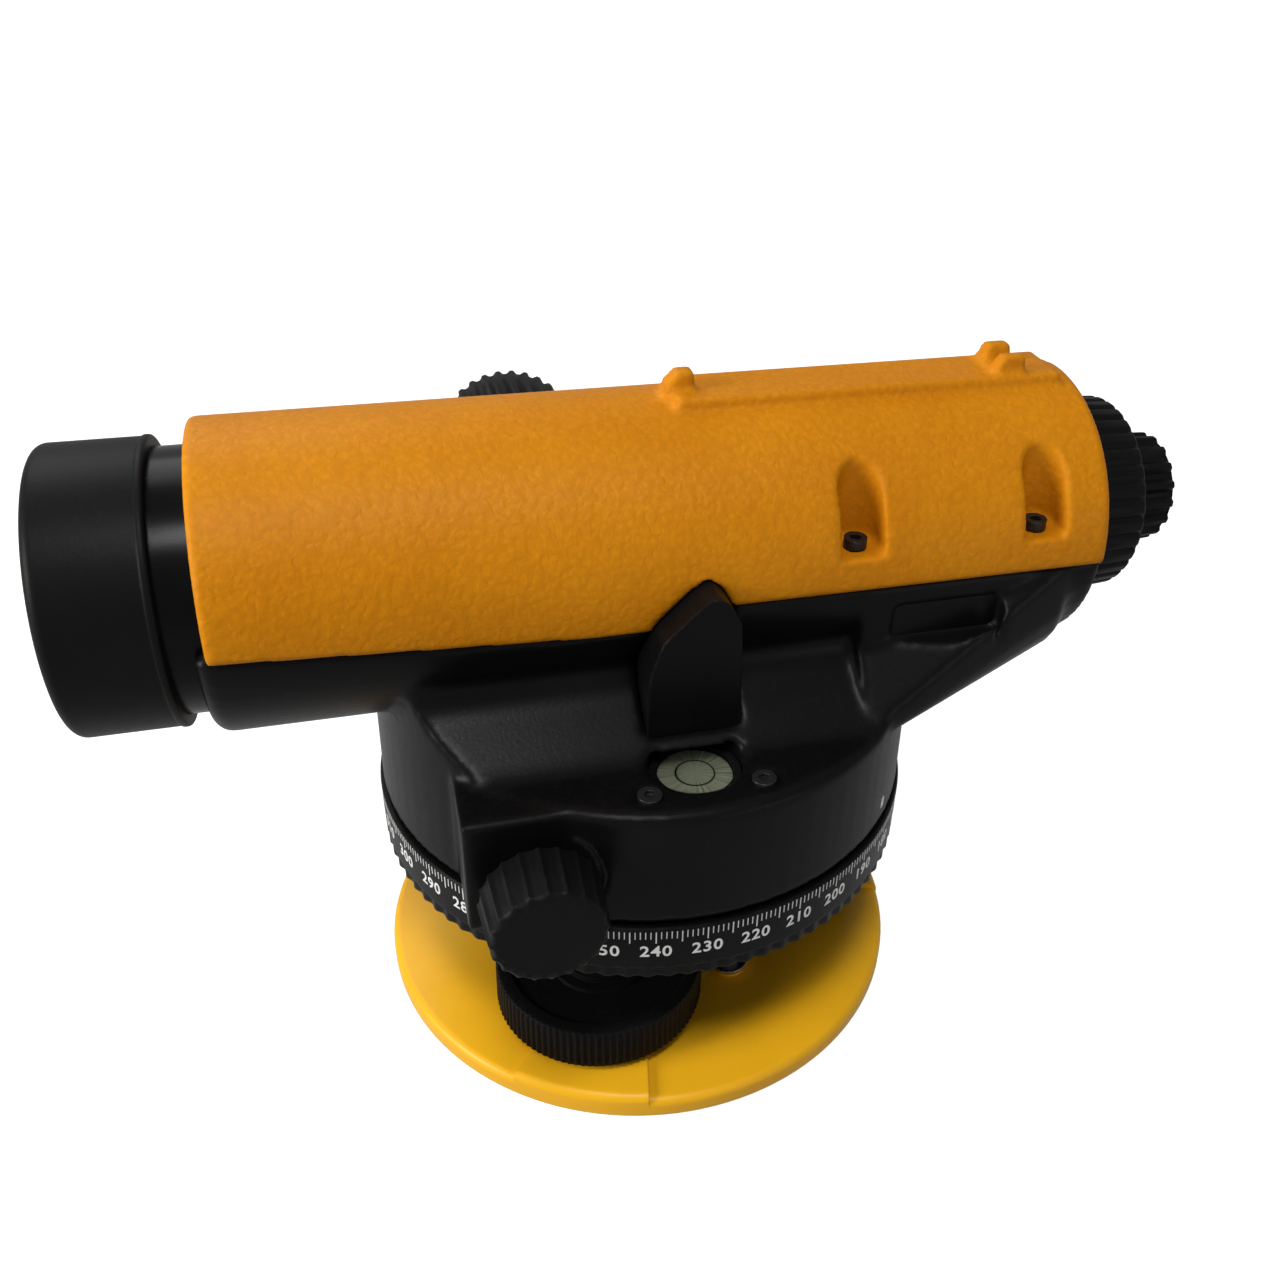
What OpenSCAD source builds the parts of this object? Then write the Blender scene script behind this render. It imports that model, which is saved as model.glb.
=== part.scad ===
// Automatic optical level with a horizontal circle, on its three-screw base.
// Origin: centre of the tripod thread, on the underside of the base plate.
// +Z up, +X along the line of sight out of the objective, +Y the observer's left.

/* [Base plate] */
// Outside radius of the base plate
base_r = 60; // [57:0.5:64]
// Thickness of the base plate at pads and hub
base_t = 6.5; // [6.2:0.1:8]
// Depth of the floor below the pads
floor_drop = 1.2; // [1:0.1:2.4]
// Angle from each foot screw to the near and to the far edge of its raised pad
pad_sweep = [-10, 18.7];
// Rounding of the lower and of the upper edge
edge_round = [1.2, 1.8];
// Radius of the raised hub round the tripod thread
hub_r = 16; // [13:0.5:18]
// Minor radius of the five-eighths inch tripod thread
tripod_thread_r = 6.8; // [6.6:0.05:7.9]

/* [Foot screws] */
// Distance of the foot screws from the centre
foot_r = 32; // [31:0.1:33]
// Height of the wheels above the base plate
foot_gap = 1.5; // [1.3:0.1:3]
// Radius of the knurled wheel
wheel_r = 23; // [20:0.5:24.5]
// Height of the knurled wheel
wheel_h = 10.7; // [9:0.1:11]
// Ridges round each wheel
wheel_ridges = 96; // [60:2:110]
// Depth of the ridges
wheel_ridge_d = 0.55; // [0.3:0.05:0.8]
// Radius of the ball at the lower end
ball_r = 3.5; // [3:0.1:3.7]
// Radius of the threaded stem
stem_r = 4; // [3.2:0.1:4.5]
// Thickness of the spring plate that holds the balls down
spring_t = 0.8; // [0.5:0.1:1]

/* [Tribrach and bearing] */
// Clear height between the wheels and the tribrach
neck_gap = 5.3; // [4:0.1:8]
// Height of the tribrach up to its top flange
tribrach_h = 16; // [14:0.5:20]
// Radius of the lobe round each foot screw
lobe_r = 9.5; // [8:0.1:10]
// Thickness of the top flange
flange_t = 2.7; // [2:0.1:4]
// Outside radius of the foot screw bushes
foot_bush_r = 6.2; // [5.6:0.1:7]
// Radius of the vertical spindle
spindle_r = 8.95; // [8:0.05:10]
// Wall of the bearing sleeve at its thin end
sleeve_wall = 5; // [4:0.1:6]
// Extra wall of the sleeve's shoulder
shoulder_w = 3; // [2:0.1:4]

/* [Horizontal circle] */
// Outside radius of the graduated ring
circle_r = 58.15; // [57.5:0.05:58.6]
// Height of the graduated ring
circle_h = 13; // [11:0.1:14]
// Wall of the graduated ring
circle_wall = 3; // [2:0.1:5]
// Thickness of its web
circle_web = 2.6; // [2:0.1:3.2]
// Radius of the seat it turns on
circle_seat_r = 44; // [42:0.5:48]
// Grip notches round the lower edge
circle_notches = 90; // [60:2:120]

/* [Drum and housing] */
// Radius of the drum at the top edge
drum_r = 57.05; // [56:0.05:58]
// Height of the drum from its lower edge to the shelf
drum_h = 26.3; // [25:0.1:29]
// Gap between the ring and the drum
drum_gap = 0.8; // [0.4:0.1:1.5]
// Wall of the drum
drum_wall = 3.2; // [2:0.1:4]
// Thickness of the shelf
shelf_t = 4.6; // [4:0.1:5]
// Rounding of the shelf edge
shelf_round = 1.5; // [0.5:0.1:2.5]
// Height of the line of sight above the shelf
sight_rise = 26.6; // [26.2:0.1:27.5]
// Outside radius of the lower telescope shell
shell_r = 29.2; // [28.8:0.1:29.8]
// Wall of the telescope shell
shell_wall = 2.6; // [2:0.1:2.8]
// Front end of the shell
shell_front = 86; // [85:0.5:88]
// Rear end of the shell
shell_rear = 89; // [88:0.5:92]
// Half width of the neck between telescope and drum
neck_w = 26.2; // [25:0.1:27]
// Half width of the neck where it meets the shelf
neck_foot_w = 40.4; // [38:0.1:41]
// Height at which the neck's flank starts above the shelf
flank_h = 10; // [8:0.1:12]

/* [Top cover] */
// How far the cover stands out over the shell
cover_lip = 0.8; // [0.7:0.05:1.8]
// Wall of the cover
cover_wall = 2.4; // [1.8:0.1:2.6]
// Drop of the seam under the line of sight, at the rear and at the front end
seam_drop = 0.5; // [0:0.1:1]
// Drop of the seam where the cover hangs lowest, in front of the bubble viewer
seam_dip = 4.3; // [1:0.1:5]
// Where the seam starts to rise towards the front end
seam_dip_end = 15.5; // [12:0.5:30]
// Front end of the cover
cover_front = 83.8; // [82:0.1:84]
// Rounding of the cover's end edges
cover_round = 1.2; // [0.5:0.1:2]
// Distances of the screw pockets behind the centre
pocket_x = [74.7, 36];
// Distance of the pockets' screws inside the shell's outer face
pocket_inset = 5.4; // [5.2:0.05:5.7]
// Radius of the screw pockets
pocket_r = 4.5; // [4:0.1:5.5]
// Height of the pocket floor above the split
pocket_floor = 6.3; // [5:0.1:8]
// Half width of the sighting rail
rail_w = 6.8; // [5:0.1:8]
// Front end of the rail, behind the centre
rail_front = 4.5; // [3:0.1:8]
// Rear end of the rail, behind the centre
rail_rear = 85; // [80:0.5:86]
// Height of the rail's top above the crown
rail_h = 1.4; // [1:0.1:2.5]
// Height of the sights above the rail
sight_h = 3.6; // [3:0.1:5]

/* [Objective and cap] */
// Step from the shell's outer face down to the objective tube
tube_step = 4.15; // [4:0.05:4.6]
// Front end of the objective tube
tube_front = 106; // [104:0.5:107]
// Rear end of the objective tube
tube_rear = 62; // [60:0.5:66]
// Wall of the objective tube
tube_wall = 2.4; // [2:0.1:3]
// Width of the ring round the objective lens
lens_land = 2.05; // [1.85:0.05:3.6]
// Wall of the lens cap
cap_wall = 2.03; // [1.85:0.01:2.55]
// Rear end of the cap
cap_rear = 90.4; // [89:0.1:92]
// Front face of the cap
cap_front = 110; // [109.5:0.1:113]
// Thickness of the cap's face
cap_face_t = 2.4; // [1.8:0.1:2.6]

/* [Focusing] */
// Place of the focusing knob ahead of the centre
focus_x = 20.3; // [18:0.1:23]
// Radius of the focusing knob
focus_knob_r = 15.5; // [13:0.1:17]
// Distance of the knob's face from the middle
focus_face_y = 55; // [52:0.5:58]
// Length of the focusing knob
focus_knob_l = 15.5; // [12:0.5:16]
// Radius of the drive shafts
shaft_r = 3; // [2.5:0.1:3.4]
// Module of rack and pinion
rack_mod = 0.5; // [0.45:0.01:0.55]
// Teeth of the pinion
pinion_teeth = 12; // [11:1:13]
// Outside radius of the guide tube
guide_r = 17; // [16.8:0.05:17.4]
// Wall of the guide tube
guide_wall = 1.5; // [1.2:0.1:1.6]
// Wall of the lens carrier
carrier_wall = 1.9; // [1.5:0.1:2.4]
// Length of the lens carrier
carrier_l = 20; // [16:0.5:22]

/* [Compensator] */
// Distance of the compensator behind the centre
comp_x = 39; // [38:0.1:40]
// Half width of the compensator frame
comp_w = 11.5; // [11:0.1:12.5]
// Half width of the prisms
prism_w = 6.8; // [5:0.1:7]
// Leg of the swinging prism's right angle
prism_leg = 11.5; // [10:0.1:12]
// Radius of the suspension wires
wire_r = 0.15; // [0.1:0.01:0.25]

/* [Eyepiece end] */
// Outside radius of the ribbed reticle cover
reticle_cover_r = 21.6; // [20.5:0.1:22.5]
// Length of the reticle cover
reticle_cover_l = 14.2; // [12:0.1:15]
// Outside radius of the eyepiece sleeve
eye_sleeve_r = 13; // [12.4:0.1:14]
// Radius of the eyepiece barrel
eye_barrel_r = 10; // [9.4:0.1:10.3]
// Radius of the eyepiece knob
eye_knob_r = 11.7; // [11.2:0.1:13]
// Length of the eyepiece knob
eye_knob_l = 9.2; // [8:0.1:10]
// Rear face of the eyepiece knob, behind the centre
eye_rear = 116.4; // [115.5:0.1:118]

/* [Tangent drive] */
// Distance of the tangent shaft ahead of the centre
tangent_x = 32; // [31:0.1:33]
// Height of the tangent shaft above the drum's lower edge
tangent_rise = 11; // [10.5:0.1:12]
// Teeth of the worm wheel
worm_teeth = 72; // [60:1:74]
// Module of worm and wheel
worm_mod = 0.75; // [0.7:0.01:0.76]
// Thickness of the worm wheel
worm_wheel_t = 3; // [2.4:0.1:3.6]
// Length of the worm
worm_l = 9; // [8:0.1:11]
// Radius of the knobs at the front face
tangent_knob_r = 10.9; // [10:0.1:11.4]
// Growth of the knobs' radius towards the drum
tangent_knob_flare = 0.7; // [0.2:0.1:0.9]
// Length of the knobs
tangent_knob_l = 12.1; // [10:0.1:13]
// How far the knobs stand out past the drum
knob_reach = 8.75; // [8:0.05:11]
// Ribs round the tangent and eyepiece knobs
knob_ribs = 20; // [16:1:24]
// Distance of the boss's face inside the drum's radius
boss_inset = 6.55; // [6.05:0.05:8]
// Half width of the boss
boss_w = 13.1; // [12.4:0.1:13.5]

/* [Circular bubble] */
// Place of the bubble ahead of the centre
vial_x = -0.5; // [-2:0.1:2]
// Distance of the bubble's middle inside the drum's radius
vial_inset = 16.05; // [15.5:0.05:17]
// Radius of the glass
vial_r = 7.5; // [6.5:0.1:7.8]
// Radius of the well in the shelf
well_r = 9.2; // [8.8:0.1:10]
// Depth of the glass below the shelf
vial_drop = 3.3; // [2.5:0.1:4]
// Distance of the adjusting screws from the glass's centre
vial_screw_r = 14; // [13.6:0.1:14.4]
// Distance from the bubble's middle in to the outer face of the viewer
viewer_setback = 5; // [4:0.1:7]

/* [Fits] */
// Radial play of a turning or sliding fit
run_fit = 0.05; // [0.02:0.01:0.08]
// Play between parts fixed to each other
seat_fit = 0.02; // [0.01:0.01:0.05]
// Clear gap between separate moving parts
body_gap = 0.3; // [0.25:0.01:0.4]

/* [Hidden] */
$fn = 96;
eps = 0.05;
black = [0.06, 0.06, 0.065];
yellow = [0.97, 0.62, 0.05];
steel = [0.72, 0.73, 0.75];
brass = [0.78, 0.62, 0.3];
glass = [0.75, 0.85, 0.9];

// Heights, from the base plate up
floor_z = base_t - floor_drop;
wheel_z = base_t + foot_gap;
tribrach_z = wheel_z + wheel_h + neck_gap;
flange_z = tribrach_z + tribrach_h;
circle_web_z = flange_z + flange_t + body_gap;
circle_z = circle_web_z - 1.5;
circle_top_z = circle_z + circle_h;
drum_z = circle_top_z + drum_gap;
shelf_z = drum_z + drum_h;
web_z = shelf_z - shelf_t;
axis_z = shelf_z + sight_rise;
tangent_z = drum_z + tangent_rise;
seat_top_z = circle_web_z + circle_web + 0.9;
notch_h = 2.6;

// Foot screws
foot_angles = [60, 180, 300];
socket_z = 1.2;
ball_z = socket_z + body_gap + ball_r;
spring_hole_r = ball_r - 0.2;
spring_hub_r = 8.6;
spring_screw_r = 30;
spring_screw_angles = [0, 120, 240];
stem_top_z = flange_z - 2;

// Bearing, clutch and worm wheel
sleeve_r = spindle_r + run_fit + sleeve_wall;
shoulder_r = sleeve_r + shoulder_w;
sleeve_z = tribrach_z + 2;
wheel_gear_z = tangent_z - worm_wheel_t / 2;
gear_pitch_r = worm_mod * worm_teeth / 2;
worm_pitch_r = tangent_x - gear_pitch_r;
worm_lead = PI * worm_mod;
spring_z = wheel_gear_z + worm_wheel_t + body_gap;
clutch_spring_t = 0.8;
clutch_nut_z = spring_z + clutch_spring_t + 0.1;
clutch_nut_h = 2.3;
sleeve_top_z = clutch_nut_z + clutch_nut_h;
// The spindle's flange clears the ears of the bubble's holder
holder_ear_r = 3;
flange_spindle_r = drum_r - vial_inset - vial_screw_r - holder_ear_r - 2;
flange_spindle_t = web_z - sleeve_top_z - 1.2;

// Telescope
shell_in_r = shell_r - shell_wall;
cover_r = shell_r + cover_lip;
cover_in_r = cover_r - cover_wall;
ring_r = cover_in_r - 0.4;
front_wall_x = 70;
rear_wall_t = 5;
tube_r = shell_r - tube_step;
tube_seat_r = tube_r + seat_fit;
tube_in_r = tube_r - tube_wall;
objective_r = tube_in_r - lens_land;
cap_r = tube_r + cap_wall;
pocket_y = shell_r - pocket_inset;
screw_hole_r = 1.85;
guide_in_r = guide_r - guide_wall;
carrier_r = guide_in_r - run_fit;
focus_lens_r = carrier_r - carrier_wall;
guide_x = [-5, 55];
bulkhead_x = [[-5, -1], [51, 55]];
carrier_x = focus_x + 3.7;
rack_y = [16.3, 19.6];
pinion_y = [16.2, 20.8];
pinion_pitch_r = rack_mod * pinion_teeth / 2;
rack_pitch_z = axis_z - pinion_pitch_r;
rack_teeth = 15;
focus_boss_r = 10;
focus_boss_y = focus_face_y - focus_knob_l - 0.5;
bush_r = shaft_r + run_fit + 3;
bush_l = 11;
focus_shaft_y = focus_face_y - 3;
pedestal_z = axis_z - shell_in_r + 3.2;
pedestal_x = [comp_x - 19, comp_x + 19];

// Compensator
comp_base_t = 3;
swing_prism_z = pedestal_z + comp_base_t + prism_leg + 0.3;
fixed_leg = 10;
fixed_dx = 7;
cradle_w = prism_w + 1.4;
cradle_l = prism_leg + 1.9;
bridge_z = axis_z + 13.4;

// Eyepiece end
eye_sleeve_in = eye_barrel_r + run_fit;
eye_sleeve_rear = shell_rear + 17;
cell_x = shell_rear + 3;
cell_l = 5;

// Tangent drive
tangent_face_y = drum_r + knob_reach;
boss_y = drum_r - boss_inset;
knob_back_y = tangent_face_y - tangent_knob_l;
lug_w = 9;
lug_in_y = boss_y - bush_l - 1.5;
recess_r = tangent_knob_r + tangent_knob_flare + 0.5;

// Index plate and label plate
index_angle = 138;
index_w = 1.6;
index_h = 2.4;
index_z = drum_z + 3.8;
label_x = -67;
label_w = 23.2;
label_h = 7.8;
label_t = 0.7;
label_seat = 1.2;

// Bubble and its viewer
vial_xy = [vial_x, drum_r - vial_inset];
viewer_y = vial_xy[1] - viewer_setback;
viewer_back = shell_r - 4.7;
viewer_low = 2.4 - sight_rise;
vial_z = shelf_z - vial_drop;
vial_h = 5.2;
vial_screw_angles = [38, 142, 270];
vial_boss_z = shelf_z - 8.1;
holder_r = well_r - body_gap;
ear_t = 2.5;

// Solid of revolution helpers, each along one axis
module cyl_z(x, y, z0, z1, r) translate([x, y, z0]) cylinder(h = z1 - z0, r = r);
module ring_z(z0, z1, ro, ri) difference() {
    cyl_z(0, 0, z0, z1, ro);
    cyl_z(0, 0, z0 - 1, z1 + 1, ri);
}
module cyl_x(x0, x1, r) translate([x0, 0, axis_z]) rotate([0, 90, 0]) cylinder(h = x1 - x0, r = r);
module ring_x(x0, x1, ro, ri) difference() {
    cyl_x(x0, x1, ro);
    cyl_x(x0 - 1, x1 + 1, ri);
}
module cyl_y(x, z, y0, y1, r) translate([x, y0, z]) rotate([-90, 0, 0]) cylinder(h = y1 - y0, r = r);
module at_foot(i) rotate([0, 0, foot_angles[i]]) translate([foot_r, 0, 0]) children();

// A slab with a (y, z) outline, from x0 to x1
module slab_x(x0, x1, outline) translate([x0, 0, 0]) rotate([90, 0, 90])
    linear_extrude(x1 - x0) polygon(outline);
// A slab with an (x, z) outline, from y0 to y1
module slab_y(y0, y1, outline) translate([0, y1, 0]) rotate([90, 0, 0])
    linear_extrude(y1 - y0) polygon(outline);

// Points of an arc about (cx, cy) from angle a to angle b
function arc(cx, cy, r, a, b, n = 8) = [
    for (i = [0:n]) let (t = a + (b - a) * i / n) [cx + r * cos(t), cy + r * sin(t)]
];

// Round outline with shallow grooves
module ribbed(r, n, depth) polygon([
    for (i = [0:n - 1], k = [0:3])
        let (a = 360 / n * (i + [0.08, 0.42, 0.58, 0.92][k]), q = k == 0 || k == 3 ? r - depth : r)
        [q * cos(a), q * sin(a)]
]);
// Chamfered envelope of a knob that stands on z = 0
module knob_body(r0, r1, h, edge) rotate_extrude() polygon([
    [0, 0], [r0 - edge, 0], [r0, edge], [r1, h - edge],
    [r1 - edge * 0.3, h - edge * 0.3], [r1 - edge, h], [0, h]
]);
seam = [
    [-200, axis_z - seam_drop], [-2, axis_z - seam_drop], [0, axis_z - seam_dip],
    [seam_dip_end, axis_z - seam_dip], [cover_front, axis_z - seam_drop], [200, axis_z - seam_drop]
];
module in_half(side) slab_y(-100, 100, concat(
    seam, [[200, axis_z + side * 200], [-200, axis_z + side * 200]]
));

// Shell of revolution about the line of sight, with rounded end edges
module round_shell(x0, x1, ro, ri, e0, e1) translate([0, 0, axis_z]) rotate([0, 90, 0])
    rotate_extrude() polygon(concat(
        [[ri, x0]], arc(ro - e0, x0 + e0, e0, 270, 360), arc(ro - e1, x1 - e1, e1, 0, 90), [[ri, x1]]
    ));

// The round plate with its edges rounded, up to the height top
module plate_disc(top) rotate_extrude() polygon(concat(
    [[0, 0]], arc(base_r - edge_round[0], edge_round[0], edge_round[0], 270, 360),
    arc(base_r - edge_round[1], top - edge_round[1], edge_round[1], 0, 90), [[0, top]]
));

module base_plate() color(yellow) difference() {
    union() {
        plate_disc(floor_z);
        intersection() {
            plate_disc(base_t);
            for (a = foot_angles) linear_extrude(base_t + 1)
                polygon(concat([[0, 0]], arc(0, 0, base_r + 3, a + pad_sweep[0], a + pad_sweep[1])));
        }
        cyl_z(0, 0, floor_z - eps, base_t, hub_r);
        for (a = spring_screw_angles) rotate([0, 0, a]) cyl_z(spring_screw_r, 0, floor_z - eps, base_t, 4);
    }
    cyl_z(0, 0, -1, base_t + 1, tripod_thread_r);
    for (i = [0:2]) at_foot(i) cyl_z(0, 0, socket_z, base_t + 1, ball_r + run_fit);
    for (a = spring_screw_angles) rotate([0, 0, a]) cyl_z(spring_screw_r, 0, 2, base_t + 1, 1.3);
}

module spring_plate() color(steel) translate([0, 0, base_t + seat_fit]) difference() {
    linear_extrude(spring_t) union() {
        circle(r = spring_screw_r - 2);
        for (i = [0:2]) rotate(foot_angles[i]) translate([foot_r, 0]) circle(r = 8);
        for (a = spring_screw_angles) rotate(a) translate([spring_screw_r, 0]) circle(r = 4.5);
    }
    cyl_z(0, 0, -1, 2, spring_hub_r);
    for (i = [0:2]) at_foot(i) cyl_z(0, 0, -1, 2, spring_hole_r);
    for (a = spring_screw_angles) rotate([0, 0, a]) cyl_z(spring_screw_r, 0, -1, 2, 1.5);
}

// Socket head screw pointing down, its head standing on z = 0
module cap_screw(head_r, head_h, shank_r, shank_l) difference() {
    union() {
        cylinder(h = head_h, r = head_r);
        translate([0, 0, -shank_l]) cylinder(h = shank_l + eps, r = shank_r);
    }
    translate([0, 0, head_h * 0.4]) cylinder(h = head_h, r = head_r * 0.55, $fn = 6);
}

module spring_plate_screws() color(steel) for (a = spring_screw_angles)
    rotate([0, 0, a]) translate([spring_screw_r, 0, base_t + spring_t + 2 * seat_fit])
        cap_screw(2.5, 1.6, 1.2, 4.2);

module tribrach_outline() union() {
    for (i = [0:2]) rotate(foot_angles[i]) translate([foot_r, 0]) circle(r = lobe_r);
    polygon([for (i = [0:2], k = [0, 1])
        let (a = foot_angles[i], n = a + (k == 0 ? -60 : 60))
        [foot_r * cos(a) + lobe_r * cos(n), foot_r * sin(a) + lobe_r * sin(n)]
    ]);
}

module tribrach() color(black) difference() {
    union() {
        translate([0, 0, tribrach_z]) linear_extrude(tribrach_h + eps) tribrach_outline();
        cyl_z(0, 0, flange_z, flange_z + flange_t, circle_seat_r + 3);
        cyl_z(0, 0, flange_z, seat_top_z, circle_seat_r);
    }
    cyl_z(0, 0, tribrach_z - 1, seat_top_z + 1, sleeve_r + seat_fit);
    for (i = [0:2]) at_foot(i) cyl_z(0, 0, tribrach_z - 1, flange_z, foot_bush_r + seat_fit);
    ring_z(flange_z + flange_t, seat_top_z + 1, circle_seat_r - 4, shoulder_r + 1);
}

module foot_bushes() color(brass) for (i = [0:2]) at_foot(i) difference() {
    cyl_z(0, 0, tribrach_z, flange_z - 0.5, foot_bush_r);
    cyl_z(0, 0, tribrach_z - 1, flange_z, stem_r + run_fit);
}

module bearing_sleeve() color(steel) difference() {
    union() {
        cyl_z(0, 0, sleeve_z, sleeve_top_z, sleeve_r);
        cyl_z(0, 0, seat_top_z + seat_fit, wheel_gear_z - body_gap, shoulder_r);
    }
    cyl_z(0, 0, sleeve_z - 1, sleeve_top_z + 1, spindle_r + run_fit);
}

module clutch_nut() color(brass) difference() {
    translate([0, 0, clutch_nut_z]) cylinder(h = clutch_nut_h, r = sleeve_r + 4, $fn = 8);
    cyl_z(0, 0, clutch_nut_z - 1, sleeve_top_z + 1, sleeve_r + seat_fit);
}

module foot_spindle(i) color(steel) at_foot(i) {
    translate([0, 0, ball_z]) sphere(r = ball_r);
    cyl_z(0, 0, ball_z, wheel_z + 1, ball_r * 0.68);
    cyl_z(0, 0, wheel_z, stem_top_z, stem_r);
    cyl_z(0, 0, wheel_z + wheel_h + 1.2, wheel_z + wheel_h + 2.2, stem_r + 1.2);
}

module foot_wheel(i) color(black) at_foot(i) translate([0, 0, wheel_z]) difference() {
    union() {
        intersection() {
            linear_extrude(wheel_h) ribbed(wheel_r, wheel_ridges, wheel_ridge_d);
            knob_body(wheel_r, wheel_r - 0.1, wheel_h, 0.9);
        }
        cylinder(h = wheel_h + 1.1, r = stem_r + 4.5);
    }
    translate([0, 0, wheel_h - 0.6]) difference() {
        cylinder(h = 2, r = wheel_r - 3.2);
        translate([0, 0, -1]) cylinder(h = 4, r = stem_r + 7);
    }
    translate([0, 0, -1]) cylinder(h = wheel_h + 4, r = stem_r + seat_fit);
}

module foot_spindle_a() foot_spindle(0);
module foot_spindle_b() foot_spindle(1);
module foot_spindle_c() foot_spindle(2);
module foot_wheel_a() foot_wheel(0);
module foot_wheel_b() foot_wheel(1);
module foot_wheel_c() foot_wheel(2);

module horizontal_circle() color(black) difference() {
    union() {
        rotate_extrude() polygon([
            [0, circle_z + notch_h], [circle_r, circle_z + notch_h], [circle_r, circle_top_z - 0.4],
            [circle_r - 0.4, circle_top_z], [0, circle_top_z]
        ]);
        translate([0, 0, circle_z]) linear_extrude(notch_h + eps)
            ribbed(circle_r - eps, circle_notches, 0.5);
    }
    cyl_z(0, 0, circle_z - 1, circle_web_z, circle_r - circle_wall);
    cyl_z(0, 0, circle_web_z + circle_web, circle_top_z + 1, circle_r - circle_wall);
    cyl_z(0, 0, circle_z, circle_top_z, circle_seat_r + run_fit);
}

// Straight tooth of the worm wheel, with its flanks as wide as the worm's groove leaves
module worm_wheel() color(brass) translate([0, 0, wheel_gear_z]) difference() {
    linear_extrude(worm_wheel_t) polygon([
        for (i = [0:worm_teeth - 1], k = [0:3])
            let (a = 360 / worm_teeth * (i + [-0.3, -0.085, 0.085, 0.3][k]),
                 q = gear_pitch_r + (k == 0 || k == 3 ? -1.25 : 0.85) * worm_mod)
            [q * cos(a), q * sin(a)]
    ]);
    cyl_z(0, 0, -1, worm_wheel_t + 1, sleeve_r + run_fit);
    for (a = [0:60:300]) rotate([0, 0, a]) cyl_z(sleeve_r + 6.4, 0, -1, worm_wheel_t + 1, 2.6);
}

module clutch_spring() color(steel)
    ring_z(spring_z, spring_z + clutch_spring_t, sleeve_r + 3.4, sleeve_r + body_gap);

module vertical_spindle() color(steel) difference() {
    union() {
        cyl_z(0, 0, sleeve_z - 5, web_z - 1, spindle_r - 2.5);
        cyl_z(0, 0, sleeve_z - body_gap, web_z - 1, spindle_r);
        cyl_z(0, 0, web_z - flange_spindle_t, web_z - seat_fit, flange_spindle_r);
    }
    cyl_z(0, 0, sleeve_z - 6, web_z - 6, 3);
}

module spindle_nut() color(brass) difference() {
    cyl_z(0, 0, sleeve_z - 4.3, sleeve_z - body_gap - seat_fit, spindle_r + 2.4);
    cyl_z(0, 0, sleeve_z - 6, sleeve_z, spindle_r - 2.5 + seat_fit);
}

// Section of the neck across the telescope: vertical, then a concave flank to the shelf
neck_section = [
    [-neck_foot_w - 2, shelf_z - 3], [neck_foot_w + 2, shelf_z - 3], [neck_foot_w + 2, shelf_z],
    [neck_foot_w + 2.2, shelf_z], [neck_foot_w + 0.2, shelf_z + 0.35], [neck_foot_w - 2.2, shelf_z + 1.7],
    [neck_w + 3.4, shelf_z + flank_h - 2.3], [neck_w + 1.2, shelf_z + flank_h - 0.2],
    [neck_w + 0.3, shelf_z + flank_h + 2], [neck_w, shelf_z + flank_h + 5],
    [-neck_w, shelf_z + flank_h + 5], [-neck_w - 0.3, shelf_z + flank_h + 2],
    [-neck_w - 1.2, shelf_z + flank_h - 0.2], [-neck_w - 3.4, shelf_z + flank_h - 2.3],
    [-neck_foot_w + 2.2, shelf_z + 1.7], [-neck_foot_w - 0.2, shelf_z + 0.35],
    [-neck_foot_w - 2.2, shelf_z], [-neck_foot_w - 2, shelf_z]
];
// Foot of the rear fairing at the drum, and where it runs out at the rear end
fairing_front = [
    [-neck_foot_w + 3, shelf_z - 6], [neck_foot_w - 3, shelf_z - 6], [neck_foot_w - 0.6, shelf_z - 3.5],
    [neck_foot_w - 0.6, shelf_z], [neck_w + 1.2, shelf_z + flank_h - 0.2], [neck_w, shelf_z + flank_h + 5],
    [-neck_w, shelf_z + flank_h + 5], [-neck_w - 1.2, shelf_z + flank_h - 0.2],
    [-neck_foot_w + 0.6, shelf_z], [-neck_foot_w + 0.6, shelf_z - 1.6]
];
fairing_rear = [
    for (a = [222:8:318]) [(shell_r - 0.4) * cos(a), axis_z + (shell_r - 0.4) * sin(a)]
];
// Full lower corners of the fairing in front of the rear end
fairing_corner = [[shell_r, 0], [shell_r, -12], [28, -17], [25.5, -21], [21, -25], [14, -28.5]];
fairing_mid = concat(
    [for (p = fairing_corner) [p[0], axis_z + p[1]]],
    [for (i = [5:-1:0]) [-fairing_corner[i][0], axis_z + fairing_corner[i][1]]]
);
// Vertical flank that carries the label
flank_side = [
    [-shell_r, axis_z], [-shell_r - 0.1, axis_z - 13], [-neck_w - 1, axis_z - 18],
    [neck_w + 1, axis_z - 18], [shell_r + 0.1, axis_z - 13], [shell_r, axis_z]
];
flank_side_rear = [for (a = [180:12:360]) [(shell_r - 0.2) * cos(a), axis_z + (shell_r - 0.2) * sin(a)]];

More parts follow.
